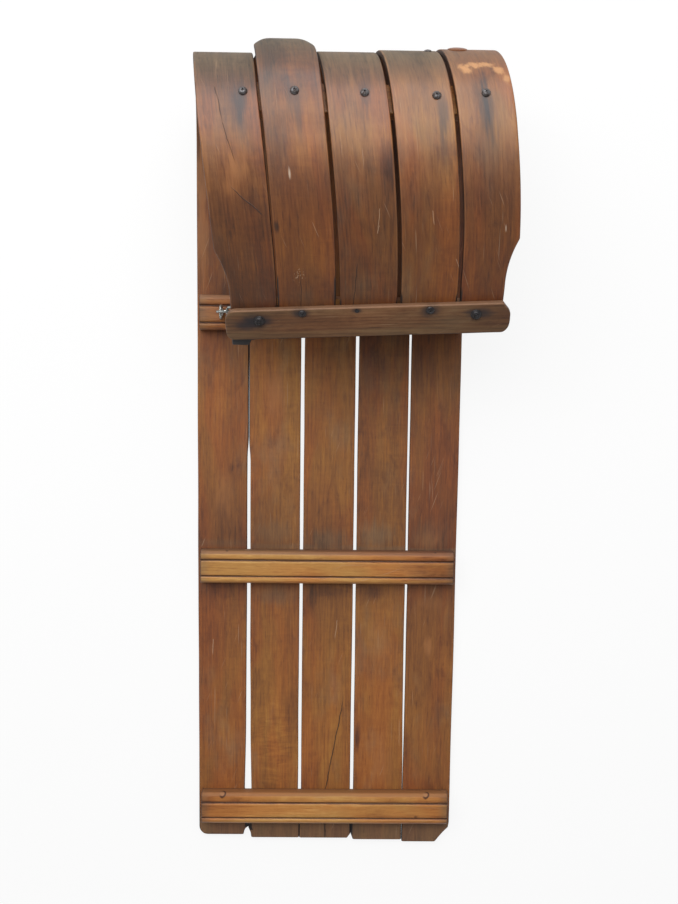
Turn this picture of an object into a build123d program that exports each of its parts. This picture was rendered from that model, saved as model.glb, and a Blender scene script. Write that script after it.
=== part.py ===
from build123d import *

import math
import os

# A flat-bottomed wooden toboggan: five bent slats with a curl at the front, three moulded
# crossbars on the deck, a bar inside the curl, a headpiece across the curl's end, and a chain
# at each side that ties the headpiece down to the front crossbar.
# Frame: +Y to the front, +X to the right seen from behind, +Z up. The origin lies on the middle
# slat's running face, straight below the middle crossbar.
os.makedirs("parts", exist_ok=True)

# Deck
SLAT_WIDTH = 77.0
SLAT_THICKNESS = 9.5
SLAT_GAP = 5.0
BAR_SPACING = 392.0
TAIL_OVERHANG = 59.0
BEND_AHEAD = 219.0
TAIL_STAGGER = 6.0
TAIL_CORNER_RADIUS = 14.0

# Curl, measured on its outer face
CURL_RADIUS = 125.0
BACK_RADIUS = 275.0
BACK_TURN = 30.0
BACK_RUN = 120.0
LONG_END = 23.0
LONG_END_SKEW = 10.0
FRONT_BULGE = 19.0
CURL_LEAN = 50.0
LEAN_LENGTH = 640.0
TRIM = 3.4
TRIM_LENGTH = 400.0
FRONT_STEPS = 6
BACK_STEPS = 2
ENVELOPE_MARGIN = 20.0

# Scoops in the outer edges of the outer slats, ahead of the headpiece
SCOOP_DEPTH = 15.0
SCOOP_RADIUS = 112.0
SCOOP_AHEAD = 36.0

# Crossbars
BAR_WIDTH = 49.0
BAR_THICKNESS = 19.0
BAR_INSET = 5.0
BAR_EDGE_RADIUS = 7.0
GROOVE_SPACING = 25.6
GROOVE_RADIUS = 1.5
GROOVE_LIP_RADIUS = 1.0

# Bar inside the curl
CURL_BAR_WIDTH = 45.0
CURL_BAR_THICKNESS = 16.0
CURL_BAR_LENGTH = 384.0
CURL_BAR_TURN = 26.0
CURL_BAR_EDGE_RADIUS = 3.0

# Headpiece
HEAD_LENGTH = 388.0
HEAD_WIDTH = 46.0
HEAD_THICKNESS = 9.5
HEAD_CORNER_RADIUS = 13.0
HEAD_EDGE_RADIUS = 2.5
HEAD_TURN = 2.8
HEAD_FROM_END = 16.5

# Eye bolts in the headpiece, screw eyes in the front crossbar, and chains
EYE_BOLT_SPACING = 294.0
EYE_BOLT_AHEAD = 7.0
SHANK_RADIUS = 3.0
SHANK_CLEARANCE = 0.25
NUT_RADIUS = 6.0
NUT_THICKNESS = 4.5
EYE_RADIUS = 9.5
EYE_WIRE_RADIUS = 2.2
EYE_NECK = 4.0
DECK_EYE_SPACING = 324.0
LINK_WIRE_RADIUS = 1.9
LINK_HALF_WIDTH = 5.6
LINK_CLEARANCE = 0.3
LINK_COUNT = 5
LINK_STEPS = 8

OVERRUN = 40.0

# Each slat from left to right: widths at the front and at the tail as shares of the slat's width,
# gaps to the next slat there as shares of the gap, how far its curl bulges forward as a share of
# the bulge, how far its tail end is drawn in as a share of the stagger, how far its other end runs
# on past the headpiece as a share of the long end, and how much its right edge is trimmed in the
# curl as a share of the trim.
SLAT_COLUMNS = ("name", "front_share", "tail_share", "front_gap_share", "tail_gap_share",
                "bulge_share", "stagger_share", "long_end_share", "trim_share")
SLAT_SHARES = (
    ("slat_left_outer", 1.015, 0.955, 0.20, 1.94, 0.00, 1.00, 1, 0),
    ("slat_left_inner", 1.020, 0.980, 1.20, 0.96, 1.00, 0.15, 0, 0),
    ("slat_middle", 1.008, 1.025, 0.90, 1.06, 0.16, 0.10, 0, 0),
    ("slat_right_inner", 0.990, 1.028, 0.90, 0.12, 0.32, -0.30, 0, 0),
    ("slat_right_outer", 0.993, 0.992, 0.00, 0.00, 0.45, -0.85, 0, 1),
)
SLATS = [dict(zip(SLAT_COLUMNS, row)) for row in SLAT_SHARES]
CROSSBARS = (("crossbar_tail", -1), ("crossbar_middle", 0), ("crossbar_front", 1))

TAIL_Y = -(BAR_SPACING + TAIL_OVERHANG)
BEND_Y = BAR_SPACING + BEND_AHEAD
EYE_DEPTH = SLAT_THICKNESS + EYE_NECK + EYE_RADIUS


def slat_edges(width_key, gap_key):
    """Left and right edges of every slat, with the deck centred on X = 0."""
    widths = [SLAT_WIDTH * slat[width_key] for slat in SLATS]
    gaps = [SLAT_GAP * slat[gap_key] for slat in SLATS]
    edge = -(sum(widths) + sum(gaps)) / 2
    edges = []
    for width, gap in zip(widths, gaps):
        edges.append((edge, edge + width))
        edge += width + gap
    return edges


def lean_at(run):
    """Sideways lean of the curl after a run along the outer face from the start of the bend."""
    share = min(max(run / LEAN_LENGTH, 0), 1)
    return CURL_LEAN * share * share * (3 - 2 * share)


def outer_places(bulge, end_run):
    """(run, y, z, angle) along a slat's outer face, from the start of the bend to its end."""
    places = []
    for step in range(FRONT_STEPS + 1):
        angle = math.pi * step / FRONT_STEPS
        places.append((CURL_RADIUS * angle, BEND_Y + bulge + CURL_RADIUS * math.sin(angle),
                       CURL_RADIUS * (1 - math.cos(angle)), angle))
    top_run = CURL_RADIUS * math.pi + bulge
    for step in range(1, BACK_STEPS + 1):
        angle = math.radians(BACK_TURN) * step / BACK_STEPS
        places.append((top_run + BACK_RADIUS * angle, BEND_Y - BACK_RADIUS * math.sin(angle),
                       2 * CURL_RADIUS - BACK_RADIUS * (1 - math.cos(angle)), math.pi + angle))
    run, y, z, angle = places[-1]
    places.append((run + end_run, y + end_run * math.cos(angle), z + end_run * math.sin(angle), angle))
    return places


def face_line(tail_y, bulge, end_run, inset):
    """One face of a slat seen edge-on, from its tail over deck, front and back to its end."""
    front = (BEND_Y + bulge, CURL_RADIUS)
    back = (BEND_Y, 2 * CURL_RADIUS - BACK_RADIUS)
    deck = Line((tail_y, inset), (front[0], inset))
    nose = CenterArc(front, CURL_RADIUS - inset, -90, 180)
    back_arc = CenterArc(back, BACK_RADIUS - inset, 90, BACK_TURN)
    end = Line(back_arc @ 1, back_arc @ 1 + (back_arc % 1) * end_run)
    top = [Line(nose @ 1, back_arc @ 0)] if bulge > 0 else []
    return [deck, nose] + top + [back_arc, end]


def side_outline(tail_y, bulge, end_run):
    """Edge-on outline of a slat, between its running face and its inner face."""
    outer = face_line(tail_y, bulge, end_run, 0)
    inner = face_line(tail_y, bulge, end_run, SLAT_THICKNESS)
    ends = [Line(outer[0] @ 0, inner[0] @ 0), Line(outer[-1] @ 1, inner[-1] @ 1)]
    return make_face(Curve() + outer + inner + ends)


def envelope_section(left, right, y, z, angle):
    """Upright cut through the space that a slat may fill, across its run at the given angle."""
    along = Vector(0, math.cos(angle), math.sin(angle))
    inward = Vector(0, -math.sin(angle), math.cos(angle))
    centre = Vector((left + right) / 2, y, z) + inward * (SLAT_THICKNESS / 2)
    height = SLAT_THICKNESS + 2 * ENVELOPE_MARGIN
    return Plane(origin=centre, x_dir=(1, 0, 0), z_dir=-along) * Rectangle(right - left, height)


BACK_END = outer_places(0, BACK_RUN)[-1]
BACK_SEAT = Pos(lean_at(BACK_END[0]), BACK_END[1], BACK_END[2]) * Rot(BACK_TURN, 0, 0)
HEAD_SEAT = BACK_SEAT * Pos(0, HEAD_FROM_END, 0) * Rot(0, 0, HEAD_TURN)


def eye_bolt_seats():
    """Places on the slats' outer face of the two eye bolts."""
    return [HEAD_SEAT * Pos(side * EYE_BOLT_SPACING / 2, EYE_BOLT_AHEAD, 0) for side in (-1, 1)]


def bolt_holes():
    holes = []
    depth = 2 * (SLAT_THICKNESS + HEAD_THICKNESS) + OVERRUN
    for seat in eye_bolt_seats():
        holes.append(seat * Cylinder(SHANK_RADIUS + SHANK_CLEARANCE, depth))
    return holes


def scoop(edge_x, side):
    """Cutter with a round front that narrows an outer slat towards the headpiece."""
    centre_x = edge_x + side * (SCOOP_RADIUS - SCOOP_DEPTH)
    y = HEAD_SEAT.position.Y + SCOOP_AHEAD + edge_x * math.tan(math.radians(HEAD_TURN))
    outline = Circle(SCOOP_RADIUS) + Pos(0, -SCOOP_RADIUS) * Rectangle(2 * SCOOP_RADIUS, 2 * SCOOP_RADIUS)
    return Pos(centre_x, y, CURL_RADIUS) * extrude(outline, CURL_RADIUS + OVERRUN)


def skew_cut(edge_x, y):
    """Cutter that trims a long slat end askew, from its outer corner at edge_x, y."""
    block = Pos(SLAT_WIDTH, -SLAT_WIDTH, 0) * extrude(Rectangle(4 * SLAT_WIDTH, 2 * SLAT_WIDTH), CURL_RADIUS)
    return Pos(edge_x, y, CURL_RADIUS) * Rot(0, 0, LONG_END_SKEW) * block


def slat(index, front_edges, tail_edges):
    sizes = SLATS[index]
    bulge = FRONT_BULGE * sizes["bulge_share"]
    tail_y = TAIL_Y + TAIL_STAGGER * sizes["stagger_share"]
    end_run = BACK_RUN + LONG_END * sizes["long_end_share"]
    front_left, front_right = front_edges[index]
    outline = Plane.YZ * side_outline(tail_y, bulge, end_run)
    wide = Pos(front_left - OVERRUN, 0, 0) * extrude(outline, front_right - front_left + CURL_LEAN + 2 * OVERRUN)
    sections = [envelope_section(*tail_edges[index], tail_y, 0, 0)]
    places = outer_places(bulge, end_run)
    for run, y, z, angle in places:
        lean = lean_at(run)
        trim = TRIM * sizes["trim_share"] * min(run / TRIM_LENGTH, 1)
        sections.append(envelope_section(front_left + lean, front_right + lean - trim, y, z, angle))
    body = wide & loft(sections, ruled=True)
    corner_edges = body.edges().filter_by(Axis.Z).group_by(Axis.Y)[0].sort_by(Axis.X)
    if index == 0:
        body = fillet(corner_edges[0], TAIL_CORNER_RADIUS)
        body -= scoop(front_left + CURL_LEAN, -1)
    if index == len(SLATS) - 1:
        body = fillet(corner_edges[-1], TAIL_CORNER_RADIUS)
        body -= scoop(front_right + CURL_LEAN, 1)
    if sizes["long_end_share"]:
        body -= skew_cut(front_left + CURL_LEAN + SCOOP_DEPTH, places[-1][1])
    for hole in bolt_holes():
        body -= hole
    return body


def crossbar(y, length):
    outline = Pos(0, BAR_THICKNESS / 2) * Rectangle(BAR_WIDTH, BAR_THICKNESS)
    outline = fillet(outline.vertices().group_by(Axis.Y)[-1], BAR_EDGE_RADIUS)
    for side in (-1, 1):
        outline -= Pos(side * GROOVE_SPACING / 2, BAR_THICKNESS) * Circle(GROOVE_RADIUS)
    lips = [corner for corner in outline.vertices() if abs(corner.Y - BAR_THICKNESS) < GROOVE_RADIUS / 2
            and abs(abs(corner.X) - GROOVE_SPACING / 2) < 2 * GROOVE_RADIUS]
    outline = fillet(lips, GROOVE_LIP_RADIUS)
    across = Plane(origin=(0, y, SLAT_THICKNESS), x_dir=(0, 1, 0), z_dir=(1, 0, 0))
    return extrude(across * outline, length / 2, both=True)


def curl_bar():
    turn = 180 - CURL_BAR_TURN
    angle = math.radians(turn)
    inner_radius = CURL_RADIUS - SLAT_THICKNESS
    seat = math.sqrt(inner_radius ** 2 - (CURL_BAR_WIDTH / 2) ** 2)
    reach = seat - CURL_BAR_THICKNESS / 2
    centre = (lean_at(CURL_RADIUS * angle), BEND_Y + reach * math.sin(angle), CURL_RADIUS - reach * math.cos(angle))
    bar = Box(CURL_BAR_LENGTH, CURL_BAR_WIDTH, CURL_BAR_THICKNESS)
    outward = (0, math.sin(angle), -math.cos(angle))
    bar = Plane(origin=centre, x_dir=(1, 0, 0), z_dir=outward) * bar
    return fillet(bar.edges().filter_by(Axis.X), CURL_BAR_EDGE_RADIUS)


def headpiece():
    board = extrude(RectangleRounded(HEAD_LENGTH, HEAD_WIDTH, HEAD_CORNER_RADIUS), HEAD_THICKNESS)
    board = fillet(board.edges().group_by(Axis.Z)[-1], HEAD_EDGE_RADIUS)
    board = HEAD_SEAT * board
    for hole in bolt_holes():
        board -= hole
    return board


def ring(radius, wire_radius):
    """Ring of six-sided wire round the X axis."""
    wire = Plane.XZ * Pos(radius, 0) * RegularPolygon(wire_radius, 6)
    return Rot(0, 90, 0) * revolve(wire, Axis.Z)


def eye_bolt(seat):
    """Eye below the slat, shank up through slat and headpiece, nut on the headpiece."""
    shank_length = SLAT_THICKNESS + EYE_NECK + HEAD_THICKNESS + NUT_THICKNESS
    shank = Pos(0, 0, -SLAT_THICKNESS - EYE_NECK) * extrude(Circle(SHANK_RADIUS), shank_length)
    nut = Pos(0, 0, HEAD_THICKNESS) * extrude(RegularPolygon(NUT_RADIUS, 6), NUT_THICKNESS)
    eye = Pos(0, 0, -EYE_DEPTH) * ring(EYE_RADIUS, EYE_WIRE_RADIUS)
    return seat * (shank + nut + eye)


def deck_eye_seat(side):
    """Place of a screw eye's ring, standing on the front crossbar."""
    height = SLAT_THICKNESS + BAR_THICKNESS + EYE_NECK + EYE_RADIUS
    return Pos(side * DECK_EYE_SPACING / 2, BAR_SPACING, height)


def deck_eye(side):
    """Screw eye with its ring in the Y-Z plane."""
    neck = Pos(0, 0, -EYE_NECK - EYE_RADIUS) * extrude(Circle(SHANK_RADIUS), EYE_NECK)
    return deck_eye_seat(side) * (neck + ring(EYE_RADIUS, EYE_WIRE_RADIUS))


def pull_point(seat, target):
    """Point on the wire of the ring at seat, round its X axis, that lies nearest to the target."""
    axis = Vector(1, 0, 0)
    pull = target - seat.position
    pull -= axis * pull.dot(axis)
    return seat.position + pull.normalized() * EYE_RADIUS


def link(length):
    """Oval link of eight-sided wire, its long way along X; length is between wire centres."""
    corners = [(0, LINK_HALF_WIDTH)]
    for side in (1, -1):
        centre = side * (length / 2 - LINK_HALF_WIDTH)
        for step in range(LINK_STEPS + 1):
            angle = math.radians(side * 90 - 180 * step / LINK_STEPS)
            x = centre + LINK_HALF_WIDTH * math.cos(angle)
            corners.append((x, LINK_HALF_WIDTH * math.sin(angle)))
    wire = Plane.YZ * Pos(LINK_HALF_WIDTH, 0) * RegularPolygon(LINK_WIRE_RADIUS, 8)
    return sweep(wire, path=Polyline(*corners, close=True), transition=Transition.RIGHT)


def chain(side, seat):
    """Links from the screw eye on the crossbar up to the eye bolt."""
    low_ring = deck_eye_seat(side)
    high_ring = seat * Pos(0, 0, -EYE_DEPTH)
    low = pull_point(low_ring, high_ring.position)
    high = pull_point(high_ring, low_ring.position)
    along = high - low
    hook = EYE_WIRE_RADIUS + LINK_WIRE_RADIUS + LINK_CLEARANCE
    lap = 2 * LINK_WIRE_RADIUS + LINK_CLEARANCE
    length = (along.length + 2 * hook + (LINK_COUNT - 1) * lap) / LINK_COUNT
    pitch = length - lap
    unit = along.normalized()
    links = []
    for number in range(LINK_COUNT):
        centre = low + unit * (length / 2 - hook + number * pitch)
        plane = Plane(origin=centre, x_dir=unit, z_dir=unit.cross(Vector(0, 1, 0)))
        turn = 0 if number % 2 else 90
        links.append(plane * Rot(turn, 0, 0) * link(length))
    return links


def main():
    front_edges = slat_edges("front_share", "front_gap_share")
    tail_edges = slat_edges("tail_share", "tail_gap_share")
    nodes = {}
    for index, sizes in enumerate(SLATS):
        nodes[sizes["name"]] = [slat(index, front_edges, tail_edges)]
    bar_length = front_edges[-1][1] - front_edges[0][0] - 2 * BAR_INSET
    for name, place in CROSSBARS:
        nodes[name] = [crossbar(place * BAR_SPACING, bar_length)]
    nodes["curl_bar"] = [curl_bar()]
    nodes["headpiece"] = [headpiece()]
    seats = eye_bolt_seats()
    nodes["eye_bolts"] = [eye_bolt(seat) for seat in seats]
    nodes["deck_eyes"] = [deck_eye(side) for side in (-1, 1)]
    nodes["chain_left"] = chain(-1, seats[0])
    nodes["chain_right"] = chain(1, seats[1])
    for name, pieces in nodes.items():
        solids = [solid for piece in pieces for solid in piece.solids()]
        export_step(Compound(children=solids), "parts/" + name + ".step")


main()
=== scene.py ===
import math
from collections import namedtuple
from functools import partial, reduce
from types import SimpleNamespace

import bpy
from mathutils import Euler, Matrix, Vector, noise


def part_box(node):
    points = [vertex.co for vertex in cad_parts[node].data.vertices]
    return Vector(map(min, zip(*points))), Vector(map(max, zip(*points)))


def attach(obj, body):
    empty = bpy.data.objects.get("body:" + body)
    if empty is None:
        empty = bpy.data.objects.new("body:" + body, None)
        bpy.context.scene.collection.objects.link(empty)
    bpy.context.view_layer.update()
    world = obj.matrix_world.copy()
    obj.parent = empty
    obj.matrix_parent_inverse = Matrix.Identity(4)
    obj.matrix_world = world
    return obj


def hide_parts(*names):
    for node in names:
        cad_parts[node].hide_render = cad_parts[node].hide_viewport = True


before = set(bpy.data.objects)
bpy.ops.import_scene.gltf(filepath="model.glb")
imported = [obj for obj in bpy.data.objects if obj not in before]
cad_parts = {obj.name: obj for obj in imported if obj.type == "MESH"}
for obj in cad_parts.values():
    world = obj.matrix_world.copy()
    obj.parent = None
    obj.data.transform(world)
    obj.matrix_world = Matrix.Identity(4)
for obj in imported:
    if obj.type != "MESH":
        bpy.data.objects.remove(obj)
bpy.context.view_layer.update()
boxes = {}


def node_box(name):
    """Lower and upper corner of a node's solids, looked up once."""
    if name not in boxes:
        boxes[name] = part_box(name)
    return boxes[name]


# Everything is in metres. Board coordinates are x across, run along from the tail end on the outer
# face, and z in from the outer face, so that the grain follows each slat round its curl.

# Slats
SLAT_WIDTH = 0.077
SLAT_GAP = 0.005
SLAT_THICKNESS = 0.0095
EDGE_EASE = 0.0019
CURL_RADIUS = node_box("slat_middle")[1].z / 2
BEND_Y = node_box("slat_left_outer")[1].y - CURL_RADIUS
BACK_RADIUS = 0.275
BACK_TURN = math.radians(30)
BACK_RUN = 0.120
LONG_END = 0.0286
LONG_END_WIDTH = 0.023
LONG_END_CUT = 0.012
LONG_END_SOFT = 0.006
LONG_END_REACH = 0.06
CURL_LEAN = 0.050
LEAN_LENGTH = 0.640
TRIM = 0.0034
TRIM_LENGTH = 0.400
SCOOP_DEPTH = 0.015
SCOOP_RADIUS = 0.112
SCOOP_AHEAD = 0.036
DECK_STEP = 0.008
CURL_STEP = 0.0045
SLAT_COLUMNS = 14
WAVER = 0.0005

# Crossbars, bar inside the curl, headpiece
BAR_WIDTH = 0.049
BAR_EDGE_RADIUS = 0.007
BAR_FOOT = 0.0006
BAR_END_EASE = 0.0012
BAR_WAVER = 0.00035
BAR_STILL_FOOT = 0.004
GROOVE_SPACING = 0.0256
GROOVE_RADIUS = 0.0017
GROOVE_LIP = 0.0006
CURL_BAR_WIDTH = 0.045
CURL_BAR_THICKNESS = 0.016
CURL_BAR_EASE = 0.003
CURL_BAR_END = 0.002
CURL_BAR_STEP = 0.012
BAR_STEP = 0.006
CURL_BAR_TURN = math.radians(26)
HEAD_LENGTH = 0.388
HEAD_WIDTH = 0.046
HEAD_THICKNESS = 0.0095
HEAD_TURN = math.radians(2.8)
HEAD_FROM_END = 0.0165
HEAD_EASE = 0.0022
HEAD_WAVER = (0.0004, 0.0003)
HEAD_COLUMNS = 8

# Corners of the headpiece: radii at the left, length along it and width across it at the right
HEAD_LEFT_REAR = 0.0125
HEAD_LEFT_FRONT = 0.0165
HEAD_RIGHT_REAR = (0.012, 0.019)
HEAD_RIGHT_FRONT = (0.0105, 0.0145)
HEAD_TIP_RADIUS = 0.003
HEAD_CORNER_RUN = 0.016

# Metal
EYE_BOLT_SPACING = 0.294
EYE_BOLT_AHEAD = 0.007
EYE_NECK = 0.004
EYE_RADIUS = 0.0095
EYE_WIRE_RADIUS = 0.0022
SHANK_RADIUS = 0.003
SHANK_OUT = 0.0035
SHANK_TIP = 0.0010
DECK_EYE_SPACING = 0.324
WIRE_SIDES = 12
LINK_WIRE_RADIUS = 0.0019
LINK_HALF_WIDTH = 0.0056
LINK_CLEARANCE = 0.0003
LINK_COUNT = 5

# Domed nut on a thin washer, rounded by rust, as (radius, height) points
NUT = ((0.0072, 0.0), (0.0075, 0.0006), (0.0066, 0.0011), (0.0058, 0.0011), (0.0060, 0.0022),
       (0.0056, 0.0036), (0.0046, 0.0044), (0.0034, 0.0046), (0.0031, 0.0040))

# Each slat: widths at the front and at the tail as shares of the slat's width, gaps to the next
# slat there as shares of the gap, radii of its tail corners, how far its edges spread behind the
# tail bar, how much its nose corners are worn.
Slat = namedtuple("Slat", "name front_share tail_share front_gap_share tail_gap_share "
                  "left_corner right_corner left_spread right_spread nose_wear")
SLATS = [
    Slat("slat_left_outer", 1.015, 0.955, 0.20, 1.94, 0.014, 0.001, 0.0, 0.0056, 0.0),
    Slat("slat_left_inner", 1.020, 0.980, 1.20, 0.96, 0.001, 0.001, 0.0041, 0.0024, 0.015),
    Slat("slat_middle", 1.008, 1.025, 0.90, 1.06, 0.001, 0.001, 0.0023, 0.0026, 0.0),
    Slat("slat_right_inner", 0.990, 1.028, 0.90, 0.12, 0.001, 0.001, 0.0026, 0.0, 0.0),
    Slat("slat_right_outer", 0.993, 0.992, 0.00, 0.00, 0.001, 0.001, 0.0, 0.0, 0.0),
]
TAIL_SPREAD_START = 0.040
TAIL_SPREAD_END = 0.080

# Seam between the two left slats, from where it closes, and their gap's flare behind it
SEAM_START = 0.614
SEAM_END = 0.650
SEAM = 0.0006
FLARE = 0.0012
FLARE_START = 0.045
FLARE_LENGTH = 0.14

# Stretches of a gap that are narrower or wider by an amount: it grows over a length from the
# start, and fades over a length from the end
Stretch = namedtuple("Stretch", "amount start length end fade")
LEFT_GAP_CLOSED = Stretch(0.0005, 0.1, 0.1, 0.4, 0.2)
RIGHT_GAP_OPENED = Stretch(0.0009, 0.10, 0.12, 0.3, 0.6)

# Cut corner of the last slat, and the worn nose that sticks out
CUT_WIDTH = 0.0225
CUT_LENGTH = 0.026
CUT_BEND = 0.85
NOSE_TOP = 1.9 * CURL_RADIUS
NOSE_SOFT = 0.0010
NOSE_RUB = 0.0080
NOSE_RUB_WIDTH = 0.019
NOSE_RUB_REACH = 0.036
NOSE_RUB_BEND = 2.4

# Notches at the tail end: slat, side (0 left, 1 right), width and length
NOTCHES = ((0, 1, 0.0075, 0.0130), (1, 0, 0.0045, 0.0135), (2, 1, 0.0052, 0.0075), (3, 0, 0.0026, 0.0070))


def edges(width_shares, gap_shares):
    """Left and right edges of the slats, with the deck centred on X = 0."""
    widths = [SLAT_WIDTH * share for share in width_shares]
    gaps = [SLAT_GAP * share for share in gap_shares]
    left = -(sum(widths) + sum(gaps)) / 2
    found = []
    for width, gap in zip(widths, gaps):
        found.append((left, left + width))
        left += width + gap
    return found


FRONT_EDGES = edges([s.front_share for s in SLATS], [s.front_gap_share for s in SLATS])
TAIL_EDGES = edges([s.tail_share for s in SLATS], [s.tail_gap_share for s in SLATS])


def mix(a, b, share):
    return a + (b - a) * share


def smooth(share):
    share = min(max(share, 0), 1)
    return share * share * (3 - 2 * share)


def round_inset(distance, radius):
    """How far a rounded corner draws an edge in, at a distance from the end."""
    if distance >= radius:
        return 0.0
    return radius - math.sqrt(radius ** 2 - (radius - distance) ** 2)


def lean_at(run):
    return CURL_LEAN * smooth(run / LEAN_LENGTH)


# Meshes

Station = namedtuple("Station", "run origin across inward left right")


def ring(left, right, low, high, ease, columns):
    """Section of a board with eased edges: (x, z) points round it, starting on the outer face."""
    ease = min(ease, (right - left) / 4, (high - low) / 2.2)
    arc = [math.radians(a) for a in (22.5, 45, 67.5)]
    half = [(mix(left + ease, right - ease, step / columns), low) for step in range(columns + 1)]
    half += [(right - ease + ease * math.sin(a), low + ease - ease * math.cos(a)) for a in arc]
    half += [(right, low + ease), (right, (low + high) / 2), (right, high - ease)]
    half += [(right - ease + ease * math.cos(a), high - ease + ease * math.sin(a)) for a in arc]
    return half + [(left + right - x, low + high - z) for x, z in half]


def board(name, stations, thickness, ease, columns, warp=None):
    """Closed board through the stations, with eased edges and ends and its board coordinates."""
    first, last = stations[0].run, stations[-1].run
    verts, coords, rims = [], [], []
    for station in stations:
        end_ease = round_inset(min(station.run - first, last - station.run), ease)
        section = ring(station.left + end_ease, station.right - end_ease,
                       end_ease, thickness - end_ease, ease, columns)
        for x, z in section:
            place = station.origin + station.across * x + station.inward * z
            coord = Vector((x, station.run, z))
            if warp:
                place, coord = warp(place, coord, station)
            verts.append(place)
            coords.append(coord)
            rims.append(min(x - station.left, station.right - x))
    return wood_piece(name, verts, skin(len(stations), len(section)), coords, rims)


def skin(rows, size, closed=False):
    """Faces round rows of points; the ends are capped, or the last row meets the first."""
    faces = []
    for row in range(rows if closed else rows - 1):
        near, far = row * size, (row + 1) % rows * size
        for spot in range(size):
            after = (spot + 1) % size
            faces.append((near + spot, near + after, far + after, far + spot))
    if closed:
        return faces
    return faces + [tuple(reversed(range(size))), tuple(range((rows - 1) * size, rows * size))]


def wood_piece(name, verts, faces, coords, rims):
    """Mesh with its board coordinates and each point's distance from the nearest edge."""
    piece = mesh_piece(name, verts, faces)
    store(piece, "board", "FLOAT_VECTOR", "vector", [c for coord in coords for c in coord])
    store(piece, "rim", "FLOAT", "value", rims)
    return piece


def mesh_piece(name, verts, faces):
    mesh = bpy.data.meshes.new(name)
    mesh.from_pydata([tuple(v) for v in verts], [], faces)
    mesh.validate()
    mesh.shade_smooth()
    piece = bpy.data.objects.new(name, mesh)
    bpy.context.scene.collection.objects.link(piece)
    return piece


def store(piece, name, kind, field, values):
    attribute = piece.data.attributes.new(name, kind, "POINT")
    attribute.data.foreach_set(field, values)


def end_runs(length, ease, step):
    """Runs along a board, close together at its eased ends."""
    near = [ease * share for share in (0.0, 0.12, 0.4, 1.0)]
    count = max(2, round((length - 2 * ease) / step))
    middle = [mix(ease, length - ease, n / count) for n in range(1, count)]
    return near + middle + [length - n for n in reversed(near)]


# Slats

def slat_place(index, run):
    """Origin, inward direction and run past the start of the bend, at a run from a slat's tail end."""
    bulge = bulge_of(index)
    bent = run - bend_run(index)
    if bent <= 0:
        return Vector((0, node_box(SLATS[index].name)[0].y + run, 0)), Vector((0, 0, 1)), 0.0
    left = bent
    if left < CURL_RADIUS * math.pi:
        angle = left / CURL_RADIUS
        y = BEND_Y + bulge + CURL_RADIUS * math.sin(angle)
        z = CURL_RADIUS * (1 - math.cos(angle))
    else:
        left -= CURL_RADIUS * math.pi
        flat = min(left, bulge)
        turn = min((left - flat) / BACK_RADIUS, BACK_TURN)
        straight = left - flat - turn * BACK_RADIUS
        angle = math.pi + turn
        y = BEND_Y + bulge - flat - BACK_RADIUS * math.sin(turn) + straight * math.cos(angle)
        z = 2 * CURL_RADIUS - BACK_RADIUS * (1 - math.cos(turn)) + straight * math.sin(angle)
    return Vector((lean_at(bent), y, z)), Vector((0, -math.sin(angle), math.cos(angle))), bent


def bend_run(index):
    """Run from a slat's tail end to the start of its bend."""
    low, high = node_box(SLATS[index].name)
    return high.y - CURL_RADIUS - low.y


def bulge_of(index):
    """How much further ahead a slat's bend starts than the left outer one's."""
    return node_box(SLATS[index].name)[1].y - CURL_RADIUS - BEND_Y


def slat_length(index):
    curl = CURL_RADIUS * math.pi + bulge_of(index) + BACK_RADIUS * BACK_TURN + BACK_RUN
    return bend_run(index) + curl + (LONG_END if index == 0 else 0)


def slat_limits(index, run, origin, bent):
    """Left and right edge of a slat, with tail corners, waver, worn nose, trim and scoops."""
    slat = SLATS[index]
    share = min(run / bend_run(index), 1.0)
    left, right = (mix(TAIL_EDGES[index][side], FRONT_EDGES[index][side], share) for side in (0, 1))
    spread = 1 - smooth((run - TAIL_SPREAD_START) / (TAIL_SPREAD_END - TAIL_SPREAD_START))
    left -= slat.left_spread * spread
    right += slat.right_spread * spread
    if index < 2:
        left, right = close_seam(index, run, share, left, right)
    left += round_inset(run, slat.left_corner) + waver(index, run, 0.5) * (1 - spread)
    right -= round_inset(run, slat.right_corner) + waver(index, run, 3.5) * (1 - spread)
    for number, side, width, depth in NOTCHES:
        if number == index and run < depth:
            inset = width * math.sqrt(1 - (run / depth) ** 2)
            left, right = left + inset * (1 - side), right - inset * side
    flare = FLARE * (1 - smooth((run - FLARE_START) / FLARE_LENGTH)) - stretch(run, LEFT_GAP_CLOSED)
    right -= flare * (index == 0) * (1 - spread)
    left += flare * (index == 1) * (1 - spread)
    opened = stretch(run, RIGHT_GAP_OPENED)
    left += opened * (index == 4)
    right -= opened * (index == 3)
    if slat.nose_wear and bent > 0 and origin.z < NOSE_TOP:
        from_nose = math.hypot(node_box(slat.name)[1].y - origin.y, NOSE_SOFT)
        inset = round_inset(from_nose, slat.nose_wear)
        left += inset
        right -= inset
    if index == len(SLATS) - 1:
        right -= TRIM * min(bent / TRIM_LENGTH, 1)
        right -= CUT_WIDTH * max(1 - run / CUT_LENGTH, 0) ** CUT_BEND
        right -= scoop_inset(right + CURL_LEAN, origin)
    if index == 0:
        left += scoop_inset(left + CURL_LEAN, origin)
    return left, right


def stretch(run, plan):
    """What a stretch adds at a run."""
    return (plan.amount * smooth((run - plan.start) / plan.length)
            * (1 - smooth((run - plan.end) / plan.fade)))


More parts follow.
